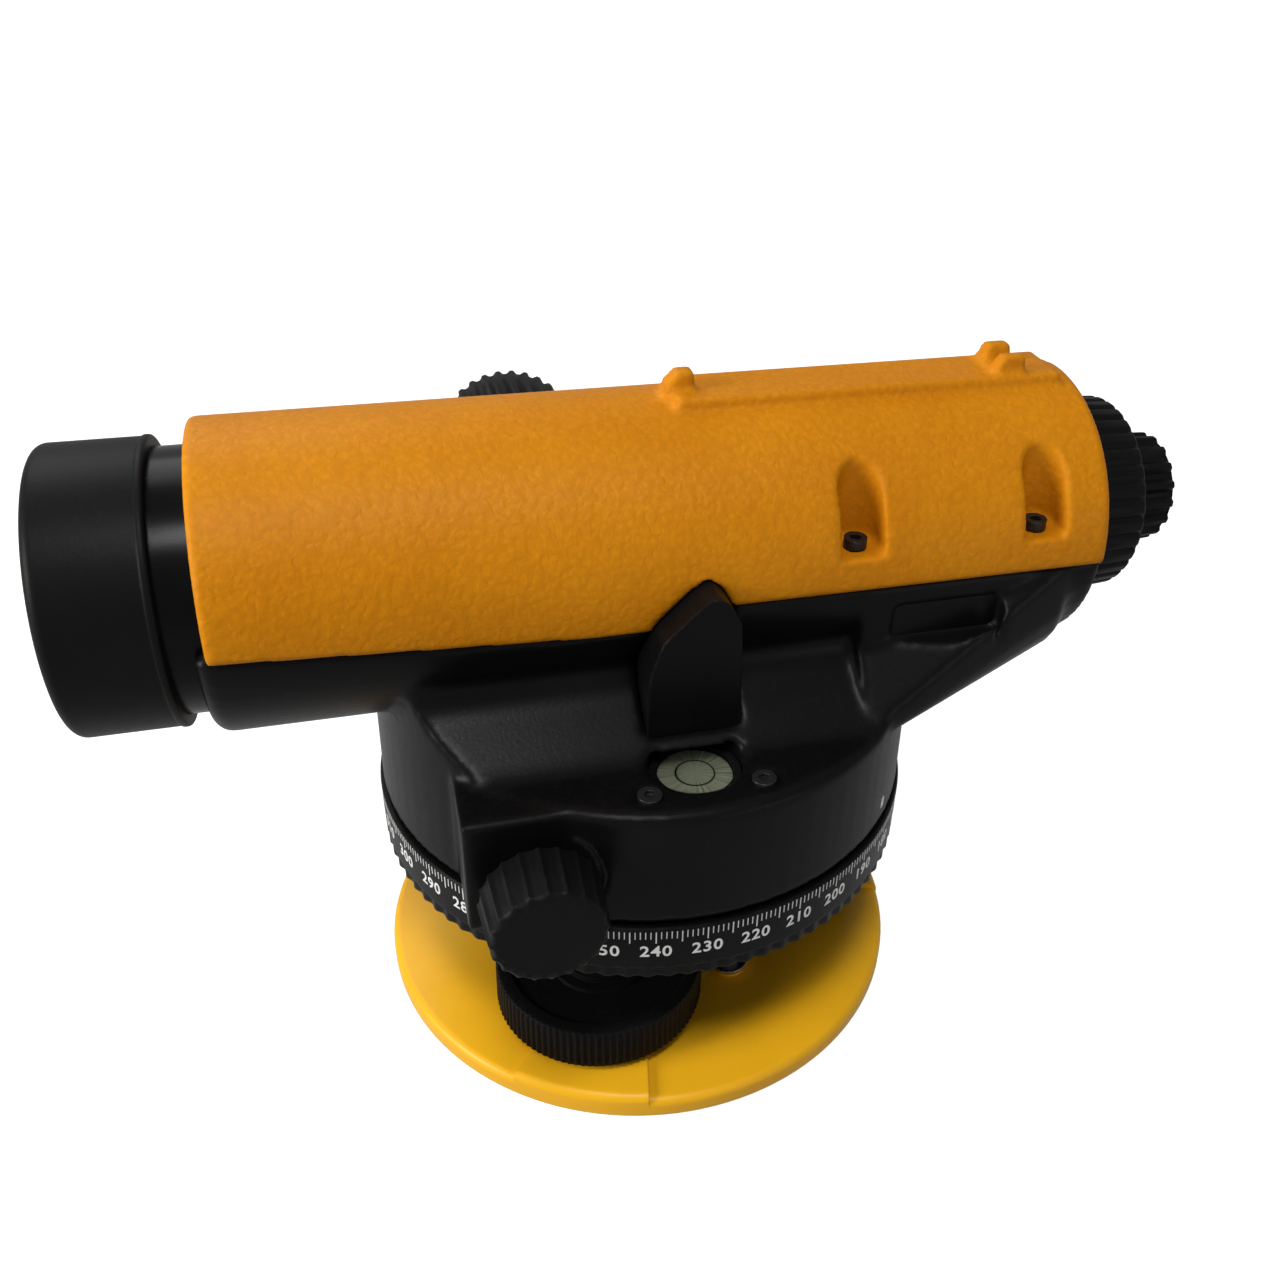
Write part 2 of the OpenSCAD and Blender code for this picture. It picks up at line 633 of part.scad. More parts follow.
module housing_outer() {
    rotate_extrude() polygon(concat(
        [[0, drum_z], [drum_r + 0.4, drum_z]],
        arc(drum_r - shelf_round, shelf_z - shelf_round, shelf_round, 0, 90), [[0, shelf_z]]
    ));
    translate([tangent_x - boss_w, -boss_y, drum_z]) cube([2 * boss_w, 2 * boss_y, drum_h - 0.4]);
    intersection() {
        cyl_z(0, 0, shelf_z - 3, axis_z - 8, drum_r);
        slab_x(-70, 70, neck_section);
    }
    intersection() {
        in_half(-1);
        union() {
            round_shell(-shell_rear, shell_front, shell_r, 1, 1.2, 3);
            hull() {
                slab_x(-38, -37, fairing_front);
                slab_x(-shell_rear + 7, -shell_rear + 7.2, fairing_mid);
                slab_x(-shell_rear + 1.5, -shell_rear + 1.7, fairing_rear);
            }
            hull() {
                slab_x(-38, -37, flank_side);
                slab_x(-70, -69, flank_side);
                slab_x(-shell_rear + 2, -shell_rear + 2.2, flank_side_rear);
            }
        }
    }
    ring_x(front_wall_x, cover_front, ring_r, tube_seat_r);
    ring_x(-shell_rear, -shell_rear + rear_wall_t, ring_r, eye_sleeve_r + seat_fit);
}

module main_housing() color(black) difference() {
    union() {
        difference() {
            housing_outer();
            difference() {
                cyl_z(0, 0, drum_z - 1, web_z, drum_r - drum_wall);
                for (y = [lug_in_y, -lug_in_y - 20]) translate([tangent_x - lug_w, y, drum_z + 2.4])
                    cube([2 * lug_w, 20, drum_h]);
                for (a = [0, 130, 230]) rotate([0, 0, a]) cyl_z(drum_r - 7, 0, drum_z + 2.2, shelf_z, 4);
                cyl_z(vial_xy[0], vial_xy[1], vial_boss_z, shelf_z, vial_screw_r + 4.2);
            }
            cyl_x(-shell_rear + rear_wall_t, front_wall_x, shell_in_r);
            cyl_x(tube_rear - 1, shell_front + 1, tube_seat_r);
            cyl_x(-shell_rear - 1, -shell_rear + rear_wall_t + 1, eye_sleeve_r + seat_fit);
        }
        for (b = bulkhead_x) difference() {
            union() {
                ring_x(b[0], b[1], guide_r + 4, guide_r + seat_fit);
                intersection() {
                    in_half(-1);
                    cyl_x(b[0], b[1], shell_in_r + 1);
                }
            }
            cyl_x(b[0] - 1, b[1] + 1, guide_r + seat_fit);
        }
        intersection() {
            translate([-pedestal_x[1], -comp_w, pedestal_z - 8])
                cube([pedestal_x[1] - pedestal_x[0], 2 * comp_w, 8]);
            cyl_x(-shell_rear, 0, shell_in_r + 1);
        }
        intersection() {
            union() for (x = pocket_x, s = [-1, 1])
                cyl_z(-x, s * pocket_y, axis_z - 11, axis_z - seam_drop, 4.2);
            cyl_x(-shell_rear, 0, shell_r - 0.3);
        }
        cyl_y(focus_x, axis_z, -focus_boss_y, -shell_in_r + 4, focus_boss_r);
    }
    for (x = pocket_x, s = [-1, 1]) cyl_z(-x, s * pocket_y, axis_z - 10, axis_z + 1, 1.7);
    for (a = [0, 130, 230]) rotate([0, 0, a]) cyl_z(drum_r - 7, 0, drum_z - 1, drum_z + 12, 1.3);
    for (y = [boss_y, -boss_y - 20]) cyl_y(tangent_x, tangent_z, y, y + 20, recess_r);
    for (y = [lug_in_y - 1, -boss_y - 1])
        cyl_y(tangent_x, tangent_z, y, y + boss_y - lug_in_y + 2, bush_r + seat_fit);
    cyl_y(focus_x, axis_z, -focus_boss_y - 1, -shell_in_r + 5, bush_r + seat_fit);
    cyl_z(vial_xy[0], vial_xy[1], vial_boss_z - 1, shelf_z + 1, well_r);
    at_vial() for (a = vial_screw_angles) rotate([0, 0, a]) {
        cyl_z(vial_screw_r, 0, vial_boss_z - 1, shelf_z + 9, 1.5);
        cyl_z(vial_screw_r, 0, shelf_z - 1, shelf_z + 9, 2.7);
    }
    translate([label_x - 0.2, shell_r - label_seat, axis_z - 13.2]) cube([label_w + 0.4, 5, label_h + 0.4]);
    rotate([0, 0, index_angle]) translate([drum_r - 0.9, -index_w / 2 - 0.1, index_z - 0.1])
        cube([5, index_w + 0.2, index_h + 0.2]);
    viewer_solid(0.1, viewer_back - 0.5, viewer_y + 1);
}

module index_plate() color("white") intersection() {
    rotate([0, 0, index_angle]) translate([drum_r - 0.9, -index_w / 2, index_z])
        cube([5, index_w, index_h]);
    cyl_z(0, 0, drum_z, shelf_z, drum_r + 0.3, $fn = 288);
}

module bottom_cover() color(black) difference() {
    ring_z(drum_z + 0.2, drum_z + 2.1, drum_r - drum_wall - 0.1, shoulder_r + 1);
    for (a = [0, 130, 230]) rotate([0, 0, a]) cyl_z(drum_r - 7, 0, drum_z - 1, drum_z + 3, 1.5);
}

module bottom_cover_screws() color(steel) for (a = [0, 130, 230])
    rotate([0, 0, a]) translate([drum_r - 7, 0, drum_z + 0.18]) mirror([0, 0, 1]) union() {
        cylinder(h = 0.5, r = 2.4);
        translate([0, 0, -8]) cylinder(h = 8.1, r = 1.2);
    }

module top_cover() color(yellow) difference() {
    union() {
        intersection() {
            in_half(1);
            union() {
                round_shell(-shell_rear, cover_front, cover_r, cover_in_r, cover_round, cover_round);
                intersection() {
                    for (x = pocket_x, s = [-1, 1])
                        cyl_z(-x, s * pocket_y, axis_z - seam_drop, axis_z + 40, pocket_r + 1.8);
                    cyl_x(-shell_rear + 1, 0, cover_r - 0.1);
                }
            }
        }
        rail();
    }
    for (x = pocket_x, s = [-1, 1]) {
        cyl_z(-x, s * pocket_y, axis_z + pocket_floor, axis_z + 40, pocket_r);
        translate([-x - pocket_r, s > 0 ? pocket_y : -pocket_y - 10, axis_z + pocket_floor])
            cube([2 * pocket_r, 10, 12]);
        cyl_z(-x, s * pocket_y, axis_z - 5, axis_z + 40, screw_hole_r);
    }
    viewer_solid(0.15, viewer_back - 0.5, viewer_y + 1);
    cyl_y(focus_x, axis_z, -cover_r - 2, 0, focus_boss_r + 0.2);
}

// Sighting rail on the crown, with its front blade and rear notch
module rail() {
    crown = axis_z + cover_r;
    top = crown + rail_h;
    intersection() {
        translate([-rail_rear, -rail_w, axis_z + cover_in_r - 1])
            cube([rail_rear - rail_front, 2 * rail_w, rail_h + cover_wall + 1]);
        difference() {
            cyl_x(-rail_rear, -rail_front, cover_r + 6);
            cyl_x(-rail_rear - 1, 0, cover_in_r + 0.6);
        }
    }
    slab_y(-2.2, 2, [
        [-9, crown - 1], [-9, top + sight_h - 0.4], [-8.6, top + sight_h], [-5.6, top + sight_h],
        [-3.2, top + 1], [-3.2, crown - 1]
    ]);
    difference() {
        slab_y(-5, 5, [
            [-77.6, crown], [-77.6, top + sight_h - 0.9], [-77, top + sight_h],
            [-72.4, top + sight_h], [-70.6, top - 0.5], [-70.6, crown]
        ]);
        slab_x(-80, -68, [
            [-1.1, top + 0.6], [1.1, top + 0.6], [2.4, top + sight_h + 1], [-2.4, top + sight_h + 1]
        ]);
    }
}

module cover_screws() color(steel) for (x = pocket_x, s = [-1, 1])
    translate([-x, s * pocket_y, axis_z + pocket_floor + seat_fit])
        cap_screw(screw_hole_r + 0.45, 2, screw_hole_r - 0.25, 15);

module label_plate() color([0.1, 0.1, 0.1])
    translate([label_x, shell_r - label_seat + seat_fit, axis_z - 13]) cube([label_w, label_t, label_h]);

// Bubble viewer: a small housing on the side of the telescope that leans over the bubble
// Each corner as x, height over the line of sight, and the way it moves when the outline grows
viewer_outline = [
    [-10.9, viewer_low, -1, -1], [7.8, viewer_low, 1, -1], [7.4, -10, 1, 0], [4.9, -3, 1, 0],
    [3.6, -1.6, 1, 1], [0.5, 1.4, 1, 1], [-1.4, 3.2, 0.7, 1], [-3, 4.4, 0.5, 1],
    [-4.2, 5.1, 0.3, 1], [-5.2, 5.3, 0, 1],
    [-6.3, 4.8, -0.4, 1], [-7.5, 3.8, -0.8, 0.8], [-8.9, 1.4, -1, 0.4], [-9.9, -0.6, -1, 0],
    [-10.3, -8, -1, 0]
];
module viewer_solid(grow, y0, y1) slab_y(y0, y1, [
    for (p = viewer_outline) [p[0] + grow * p[2], axis_z + p[1] + grow * p[3]]
]);

module viewer_housing() color(black) difference() {
    viewer_solid(0, viewer_back, viewer_y);
    slab_y(viewer_back + 1.5, viewer_y - 1.4, [
        [-12.5, shelf_z + 6], [4, shelf_z + 6], [4, axis_z - 4], [-5, axis_z + 3], [-12.5, axis_z - 5]
    ]);
    slab_y(viewer_back + 1.5, viewer_y - 1.4, [
        [-9, shelf_z], [4, shelf_z], [4, shelf_z + 8], [-9, shelf_z + 8]
    ]);
}

module viewer_prism() color(glass) slab_y(viewer_back + 1.6, viewer_y - 1.5, [
    [-8, axis_z - 20], [3.9, axis_z - 20], [3.9, axis_z - 17.5], [-8, axis_z - 5.6]
]);

module at_vial() translate([vial_xy[0], vial_xy[1], 0]) children();

module vial_holder() color(black) at_vial() difference() {
    union() {
        cyl_z(0, 0, vial_boss_z - body_gap - ear_t, vial_z + 0.6, holder_r);
        for (a = vial_screw_angles) rotate([0, 0, a]) {
            cyl_z(vial_screw_r, 0, vial_boss_z - body_gap - ear_t, vial_boss_z - body_gap, holder_ear_r);
            translate([0, -holder_ear_r, vial_boss_z - body_gap - ear_t])
                cube([vial_screw_r, 2 * holder_ear_r, ear_t]);
        }
    }
    cyl_z(0, 0, vial_z - vial_h, vial_z + 1, vial_r + seat_fit);
    for (a = vial_screw_angles) rotate([0, 0, a])
        cyl_z(vial_screw_r, 0, vial_boss_z - 5, vial_boss_z + 1, 1.12);
}

module vial_glass() color([0.85, 0.9, 0.8]) at_vial() translate([0, 0, vial_z - vial_h + seat_fit])
  difference() {
    intersection() {
        cylinder(h = vial_h, r = vial_r);
        translate([0, 0, vial_h - 60]) sphere(r = 60, $fn = 240);
    }
    translate([0, 0, 0.9]) cylinder(h = 3, r = vial_r - 1);
}

module vial_screws() color(steel) at_vial() for (a = vial_screw_angles) rotate([0, 0, a])
    translate([vial_screw_r, 0, shelf_z - 1 + seat_fit])
        cap_screw(2.3, 1.3, 1.1, shelf_z - 1 - vial_boss_z + 2.6);

module objective_tube() color(black) difference() {
    round_shell(tube_rear, tube_front, tube_r, tube_in_r, 0.5, 0.5);
    cyl_x(tube_front - 14, tube_front + 1, tube_in_r + 0.3);
}

module objective_lens() color(glass) translate([tube_front - 12, 0, axis_z]) rotate([0, 90, 0]) {
    intersection() {
        cylinder(h = 5.6, r = objective_r);
        translate([0, 0, 5.6 - 110]) sphere(r = 110);
        translate([0, 0, 110 + 0.2]) sphere(r = 110);
    }
    difference() {
        translate([0, 0, -2.4]) cylinder(h = 4.9, r = objective_r);
        translate([0, 0, 110 + 0.2]) sphere(r = 110);
    }
}

// Threaded ring that clamps the objective in its tube
module objective_ring() color(black) difference() {
    ring_x(tube_front - 14, tube_front - 2.6, tube_in_r + 0.28, objective_r - 1.2);
    cyl_x(tube_front - 14.42, tube_front - 5.4, objective_r + seat_fit);
}

module lens_cap() color(black) difference() {
    union() {
        round_shell(cap_rear, cap_front, cap_r, 0, 0.5, 2.2);
        round_shell(cap_rear, cap_rear + 1.6, cap_r + 0.25, 10, 0.6, 0.6);
    }
    cyl_x(cap_rear - 1, cap_front - cap_face_t, tube_r + run_fit);
}

module focus_guide() color(black) difference() {
    ring_x(guide_x[0], guide_x[1], guide_r, guide_in_r);
    translate([-2, -guide_r - 1, rack_pitch_z - 3.6]) cube([48, 8, 5.2]);
    cyl_y(focus_x, axis_z, -guide_r - 1, -10, pinion_pitch_r + rack_mod + 0.7);
}

module focus_carrier() color(brass) difference() {
    ring_x(carrier_x - carrier_l / 2, carrier_x + carrier_l / 2, carrier_r, focus_lens_r - 1);
    cyl_x(carrier_x - 2, carrier_x + carrier_l / 2 + 1, focus_lens_r);
}

module focus_lens() color(glass) translate([carrier_x - 2 + seat_fit, 0, axis_z]) rotate([0, 90, 0])
    difference() {
    cylinder(h = 5, r = focus_lens_r - seat_fit);
    translate([0, 0, -58.6]) sphere(r = 60, $fn = 240);
    translate([0, 0, 63.6]) sphere(r = 60, $fn = 240);
}

rack_pitch = PI * rack_mod;

module focus_rack() color(brass) difference() {
    union() {
        slab_y(-rack_y[1], -rack_y[0], concat(
            [for (x = [-0.5, 0.5]) [focus_x + x * rack_teeth * rack_pitch, rack_pitch_z - 2.8]],
            [for (i = [-(rack_teeth - 1) / 2:(rack_teeth - 1) / 2], k = [0:3])
                [focus_x - (i + [-0.29, -0.08, 0.08, 0.29][k]) * rack_pitch,
                 rack_pitch_z + (k == 0 || k == 3 ? -1.25 : 0.85) * rack_mod]]
        ));
        translate([carrier_x - 8, -rack_y[1] + 0.5, rack_pitch_z - 2.8]) cube([16, 6, 2]);
    }
    cyl_x(0, 60, carrier_r + seat_fit);
}

module focus_shaft() color(steel) {
    cyl_y(focus_x, axis_z, -focus_shaft_y, -pinion_y[1], shaft_r);
    translate([focus_x, -pinion_y[0], axis_z]) rotate([90, 0, 0])
      linear_extrude(pinion_y[1] - pinion_y[0]) polygon([
        for (i = [0:pinion_teeth - 1], k = [0:3])
            let (a = 360 / pinion_teeth * (i + 0.5 + [-0.26, -0.09, 0.09, 0.26][k]) - 90,
                 q = pinion_pitch_r + (k == 0 || k == 3 ? -1.25 : 0.85) * rack_mod)
            [q * cos(a), q * sin(a)]
    ]);
}

module turn_knob(r0, r1, l, ribs, rib_d, bore_r) difference() {
    intersection() {
        linear_extrude(l) ribbed(r0, ribs, rib_d);
        knob_body(r0, r1, l, 0.9);
    }
    translate([0, 0, -1]) cylinder(h = l - 1.6, r = bore_r);
}

module focus_knob() color(black)
    translate([focus_x, -focus_face_y + focus_knob_l, axis_z]) rotate([90, 0, 0]) turn_knob(
        focus_knob_r + 0.5, focus_knob_r, focus_knob_l, 28, 0.9, shaft_r + seat_fit
    );

module compensator_frame() color([0.5, 0.5, 0.52]) {
    base = pedestal_z + seat_fit;
    x0 = -comp_x - 17;
    translate([x0, -comp_w, base]) cube([34, 2 * comp_w, comp_base_t]);
    for (s = [-1, 1]) difference() {
        translate([x0 + 3, s > 0 ? comp_w - 2 : -comp_w, base]) cube([28, 2, bridge_z - base + 2]);
        translate([x0 + 9, s > 0 ? comp_w - 3 : -comp_w - 1, axis_z - 14]) cube([16, 4, 12]);
    }
    translate([x0 + 3, -comp_w, bridge_z]) cube([28, 2 * comp_w, 2]);
    translate([-comp_x - 4, -5, axis_z + fixed_leg / 2])
        cube([8, 10, bridge_z - axis_z - fixed_leg / 2 + eps]);
    slab_y(-prism_w, prism_w, [
        [-comp_x - fixed_dx - fixed_leg / 2 + 0.2, axis_z + fixed_leg / 2 + 0.1],
        [-comp_x - fixed_dx + fixed_leg / 2 + 0.1, axis_z - fixed_leg / 2 + 0.2],
        [-comp_x + fixed_dx - fixed_leg / 2 - 0.1, axis_z - fixed_leg / 2 + 0.2],
        [-comp_x + fixed_dx + fixed_leg / 2 - 0.2, axis_z + fixed_leg / 2 + 0.1]
    ]);
}

// Right-angle prisms that fold the light down to the swinging prism and back up
module fixed_prisms() color(glass) for (s = [-1, 1]) {
    x = -comp_x + s * fixed_dx;
    slab_y(-prism_w, prism_w, [
        [x - s * fixed_leg / 2, axis_z - fixed_leg / 2], [x + s * fixed_leg / 2, axis_z - fixed_leg / 2],
        [x + s * fixed_leg / 2, axis_z + fixed_leg / 2]
    ]);
}

module pendulum_cradle() color(brass) {
    for (y = [prism_w + seat_fit, -cradle_w]) translate([-comp_x - cradle_l, y, swing_prism_z - 5])
        cube([2 * cradle_l, cradle_w - prism_w - seat_fit, 6]);
    for (x = [-cradle_l, cradle_l - 1.8]) translate([-comp_x + x, -cradle_w, swing_prism_z - 3.1])
        cube([1.8, 2 * cradle_w, 3.5]);
}

module pendulum_prism() color(glass) slab_y(-prism_w, prism_w, [
    [-comp_x - prism_leg, swing_prism_z + 0.6], [-comp_x, swing_prism_z - prism_leg + 0.6],
    [-comp_x + prism_leg, swing_prism_z + 0.6]
]);

// Four suspension wires, crossed towards the point that the pendulum swings about
module suspension_wires() color(steel) for (s = [-1, 1], t = [-1, 1]) {
    low = [-comp_x + t * (prism_leg - 2), s * (prism_w + 0.8), swing_prism_z + 1 + seat_fit];
    high = [-comp_x + t * 7.5, s * (prism_w + 0.8), bridge_z - seat_fit];
    len = norm(high - low);
    translate(low) rotate([0, atan2(high[0] - low[0], high[2] - low[2]), 0])
        cylinder(h = len, r = wire_r, $fn = 16);
}

module damper_magnets() color([0.35, 0.35, 0.38]) for (y = [1.6, -5.6])
    translate([-comp_x - 17, y, pedestal_z + comp_base_t + 2 * seat_fit])
        cube([5, 4, swing_prism_z - pedestal_z - 8]);

module damper_vane() color([0.72, 0.42, 0.25])
    translate([-comp_x - prism_leg - 3.1 - seat_fit, -0.8, pedestal_z + comp_base_t + 1.2])
        cube([1.2, 1.6, swing_prism_z + 0.8 - pedestal_z - comp_base_t - 1.2]);

module at_reticle_screws() for (a = [90, 210, 330])
    translate([-cell_x - cell_l / 2, 0, axis_z]) rotate([a, 0, 0]) children();

module eyepiece_sleeve() color(black) difference() {
    union() {
        cyl_x(-eye_sleeve_rear, -shell_rear + rear_wall_t + 5, eye_sleeve_r);
        cyl_x(-shell_rear - 2.6, -shell_rear - seat_fit, eye_sleeve_r + 5);
    }
    cyl_x(-eye_sleeve_rear - 1, -shell_rear + 20, eye_sleeve_in);
    at_reticle_screws() cylinder(h = 20, r = 1.3);
}

module reticle_cell() color(brass) ring_x(-cell_x - cell_l, -cell_x, eye_sleeve_in - 0.35, 6.5);

module reticle_glass() color(glass) cyl_x(-cell_x - 2.5, -cell_x - 1, 6.5 - seat_fit);

module reticle_screws() color(steel) at_reticle_screws() {
    translate([0, 0, eye_sleeve_in - 0.3]) cylinder(h = eye_sleeve_r - eye_sleeve_in + 1, r = 1.1);
    translate([0, 0, eye_sleeve_r + seat_fit]) cylinder(h = 1.6, r = 2.2);
}

module reticle_cover() color(black) difference() {
    translate([-shell_rear - body_gap, 0, axis_z]) rotate([0, -90, 0]) intersection() {
        linear_extrude(reticle_cover_l) ribbed(reticle_cover_r, 32, 0.8);
        knob_body(reticle_cover_r + 0.2, reticle_cover_r - 0.7, reticle_cover_l, 0.9);
    }
    cyl_x(-shell_rear - reticle_cover_l + 1.8, -shell_rear + 1, reticle_cover_r - 2.4);
    cyl_x(-shell_rear - reticle_cover_l - 2, -shell_rear, eye_sleeve_r + seat_fit);
}

module eyepiece_barrel() color([0.3, 0.3, 0.32]) difference() {
    cyl_x(-eye_rear + 1.5, -cell_x - cell_l - 0.6, eye_barrel_r);
    cyl_x(-eye_rear + 4.5, -cell_x - cell_l + 1, eye_barrel_r - 1.6);
    cyl_x(-eye_rear, -eye_rear + 6, 5.5);
}

module eyepiece_lenses() color(glass) for (x = [-eye_rear + 4.6, -eye_rear + 12])
    translate([x, 0, axis_z]) rotate([0, 90, 0]) intersection() {
        cylinder(h = 3.4, r = eye_barrel_r - 1.6 - seat_fit);
        translate([0, 0, 3.4 - 24]) sphere(r = 24);
    }

module eyepiece_knob() color(black) difference() {
    translate([-eye_rear + eye_knob_l, 0, axis_z]) rotate([0, -90, 0]) intersection() {
        linear_extrude(eye_knob_l) ribbed(eye_knob_r + 0.3, 18, 0.8);
        knob_body(eye_knob_r + 0.3, eye_knob_r, eye_knob_l, 0.7);
    }
    cyl_x(-eye_rear + 1.5 - seat_fit, -eye_rear + 20, eye_barrel_r + seat_fit);
    translate([-eye_rear - 0.1, 0, axis_z]) rotate([0, 90, 0]) cylinder(h = 1.8, r1 = 7.4, r2 = 5.5);
}

// Bronze bushes of the tangent and focusing shafts
module bush() difference() {
    cylinder(h = bush_l, r = bush_r);
    translate([0, 0, -1]) cylinder(h = bush_l + 2, r = shaft_r + run_fit);
}
module shaft_bushes() color(brass) {
    for (y = [boss_y, -boss_y + bush_l]) translate([tangent_x, y, tangent_z]) rotate([90, 0, 0]) bush();
    translate([focus_x, -focus_boss_y + bush_l, axis_z]) rotate([90, 0, 0]) bush();
}

module tangent_shaft() color(steel)
    cyl_y(tangent_x, tangent_z, -tangent_face_y + 3, tangent_face_y - 3, shaft_r);

// Single-start worm: the outline is a slice across the axis, and a lead's twist makes the thread
function worm_height(p) = p < 0.12 || p > 0.88 ? 0.85
    : p < 0.36 ? 0.85 - 8.75 * (p - 0.12)
    : p < 0.64 ? -1.25
    : -1.25 + 8.75 * (p - 0.64);
worm_turns = worm_l / worm_lead;
worm_points = 20;
worm_slices = round(14 * worm_turns);

module tangent_worm() color(steel) difference() {
    translate([tangent_x, worm_l / 2, tangent_z]) rotate([90, 0, 0])
        linear_extrude(worm_l, twist = -360 * worm_turns, slices = worm_slices, segments = worm_points)
            polygon([
                for (i = [0:worm_points - 1])
                    let (p = i / worm_points, a = 360 * p - 180 * worm_turns)
                    (worm_pitch_r + worm_mod * worm_height(p)) * [cos(a), sin(a)]
            ]);
    cyl_y(tangent_x, tangent_z, -worm_l, worm_l, shaft_r + seat_fit);
}

module tangent_knob(s) color(black)
    translate([tangent_x, s * knob_back_y, tangent_z]) rotate([-90 * s, 0, 0]) turn_knob(
        tangent_knob_r + tangent_knob_flare, tangent_knob_r, tangent_knob_l, knob_ribs, 0.9,
        shaft_r + seat_fit);
module tangent_knob_left() tangent_knob(1);
module tangent_knob_right() tangent_knob(-1);

base_plate();
spring_plate();
spring_plate_screws();
tribrach();
foot_bushes();
bearing_sleeve();
clutch_nut();
foot_spindle_a();
foot_wheel_a();
foot_spindle_b();
foot_wheel_b();
foot_spindle_c();
foot_wheel_c();
horizontal_circle();
worm_wheel();
clutch_spring();
vertical_spindle();
spindle_nut();
main_housing();
bottom_cover();
bottom_cover_screws();
top_cover();
cover_screws();
index_plate();
label_plate();
viewer_housing();
viewer_prism();
vial_holder();
vial_glass();
vial_screws();
objective_tube();
objective_lens();
objective_ring();
lens_cap();
focus_guide();
focus_carrier();
focus_lens();
focus_rack();
focus_shaft();
focus_knob();
compensator_frame();
fixed_prisms();
pendulum_cradle();
pendulum_prism();
suspension_wires();
damper_magnets();
damper_vane();
eyepiece_sleeve();
reticle_cell();
reticle_glass();
reticle_screws();
reticle_cover();
eyepiece_barrel();
eyepiece_lenses();
eyepiece_knob();
shaft_bushes();
tangent_shaft();
tangent_worm();
tangent_knob_left();
tangent_knob_right();
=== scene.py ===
# %% [markdown]
# # An automatic level, dressed round its CAD frame
# The frame brings every solid of the instrument at its real size and place. This script gives the
# castings their soft edges, the knobs their ribs, the circle its scale and each surface its finish.

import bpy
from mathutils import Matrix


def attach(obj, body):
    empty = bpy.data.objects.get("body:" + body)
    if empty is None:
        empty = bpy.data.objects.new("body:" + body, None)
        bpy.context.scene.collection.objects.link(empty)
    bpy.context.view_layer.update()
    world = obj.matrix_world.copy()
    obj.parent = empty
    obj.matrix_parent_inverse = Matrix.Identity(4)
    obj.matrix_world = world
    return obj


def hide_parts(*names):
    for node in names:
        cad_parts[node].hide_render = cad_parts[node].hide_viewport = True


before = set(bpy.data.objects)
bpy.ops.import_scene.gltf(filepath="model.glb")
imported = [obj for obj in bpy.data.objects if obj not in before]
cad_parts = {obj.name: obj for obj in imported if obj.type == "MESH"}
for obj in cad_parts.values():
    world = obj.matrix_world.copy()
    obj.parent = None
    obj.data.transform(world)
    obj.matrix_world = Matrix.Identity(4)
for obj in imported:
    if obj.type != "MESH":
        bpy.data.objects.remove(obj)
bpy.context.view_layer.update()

# %% Modules and the frame's heights
import math

import bmesh
import bpy
from mathutils import Matrix, Vector

MM = 0.001
AXIS_Z = 108.2 * MM              # line of sight
SHELF_Z = 81.6 * MM              # top of the drum
RING_R = 58.15 * MM              # graduated ring
VIAL_XY = (-0.5 * MM, 41 * MM)   # middle of the circular bubble
scene = bpy.context.scene
print("line of sight at", round(AXIS_Z / MM, 1), "mm")

# %% [markdown]
# ## Small helpers
# An operator works on whatever is selected, so each piece starts from an empty selection. Faces are
# picked in code by their place, because there is no mouse here.


# %% Selection helpers
def deselect():
    if bpy.context.mode != "OBJECT":
        bpy.ops.object.mode_set(mode="OBJECT")
    bpy.ops.object.select_all(action="DESELECT")


def take(obj):
    """Selects one object alone and makes it active."""
    deselect()
    bpy.context.view_layer.objects.active = obj
    obj.select_set(True)
    return obj


def pick(obj, test, kind="FACE"):
    """Goes into edit mode with the faces or vertices selected that pass the test."""
    take(obj)
    bpy.ops.object.mode_set(mode="EDIT")
    bpy.ops.mesh.select_mode(type=kind)
    bpy.ops.mesh.select_all(action="DESELECT")
    mesh = bmesh.from_edit_mesh(obj.data)
    for part in (mesh.faces if kind == "FACE" else mesh.verts):
        part.select_set(bool(test(part)))
    mesh.select_flush_mode()
    bmesh.update_edit_mesh(obj.data)


# %% Helpers that finish a piece
def apply_place(obj):
    take(obj)
    bpy.ops.object.transform_apply(location=True, rotation=True, scale=True)
    return obj


def apply_modifier(obj, kind, **values):
    take(obj)
    modifier = obj.modifiers.new(kind.title(), kind)
    for key, value in values.items():
        setattr(modifier, key, value)
    bpy.ops.object.modifier_apply(modifier=modifier.name)


def smooth_by_angle(obj, angle=40):
    take(obj)
    bpy.ops.object.shade_smooth_by_angle(angle=math.radians(angle))


def join(pieces):
    """Joins the pieces into the first one."""
    deselect()
    for piece in pieces:
        piece.select_set(True)
    bpy.context.view_layer.objects.active = pieces[0]
    bpy.ops.object.join()
    return bpy.context.active_object


def finish_piece(obj, name, body, material, replaced=()):
    """Names a piece, gives it its material by name, sets it on the body it rides on and hides the solids it
    stands for.
    """
    obj.name = obj.data.name = name
    obj.data.materials.clear()
    obj.data.materials.append(MATERIALS[material])
    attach(obj, body)
    if replaced:
        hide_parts(*replaced)
    print(name, len(obj.data.polygons), "faces")


# %% [markdown]
# ## Camera
# A pinhole camera was fitted to the picture. Its turn is written as three axes, so the view needs no
# guessing, and a small shift holds the off-centre framing.

# %% Camera
AZIMUTH, ELEVATION, ROLL = 162.631, 33.698, 2.817    # degrees
FOCAL_PX, IMAGE_PX = 1274.88, 1280
CENTRE_PX = (712.604, 645.724)
EYE = Vector((54.233, 223.296, 234.563)) * MM
SENSOR = 36                                          # millimetres of film that the image fills


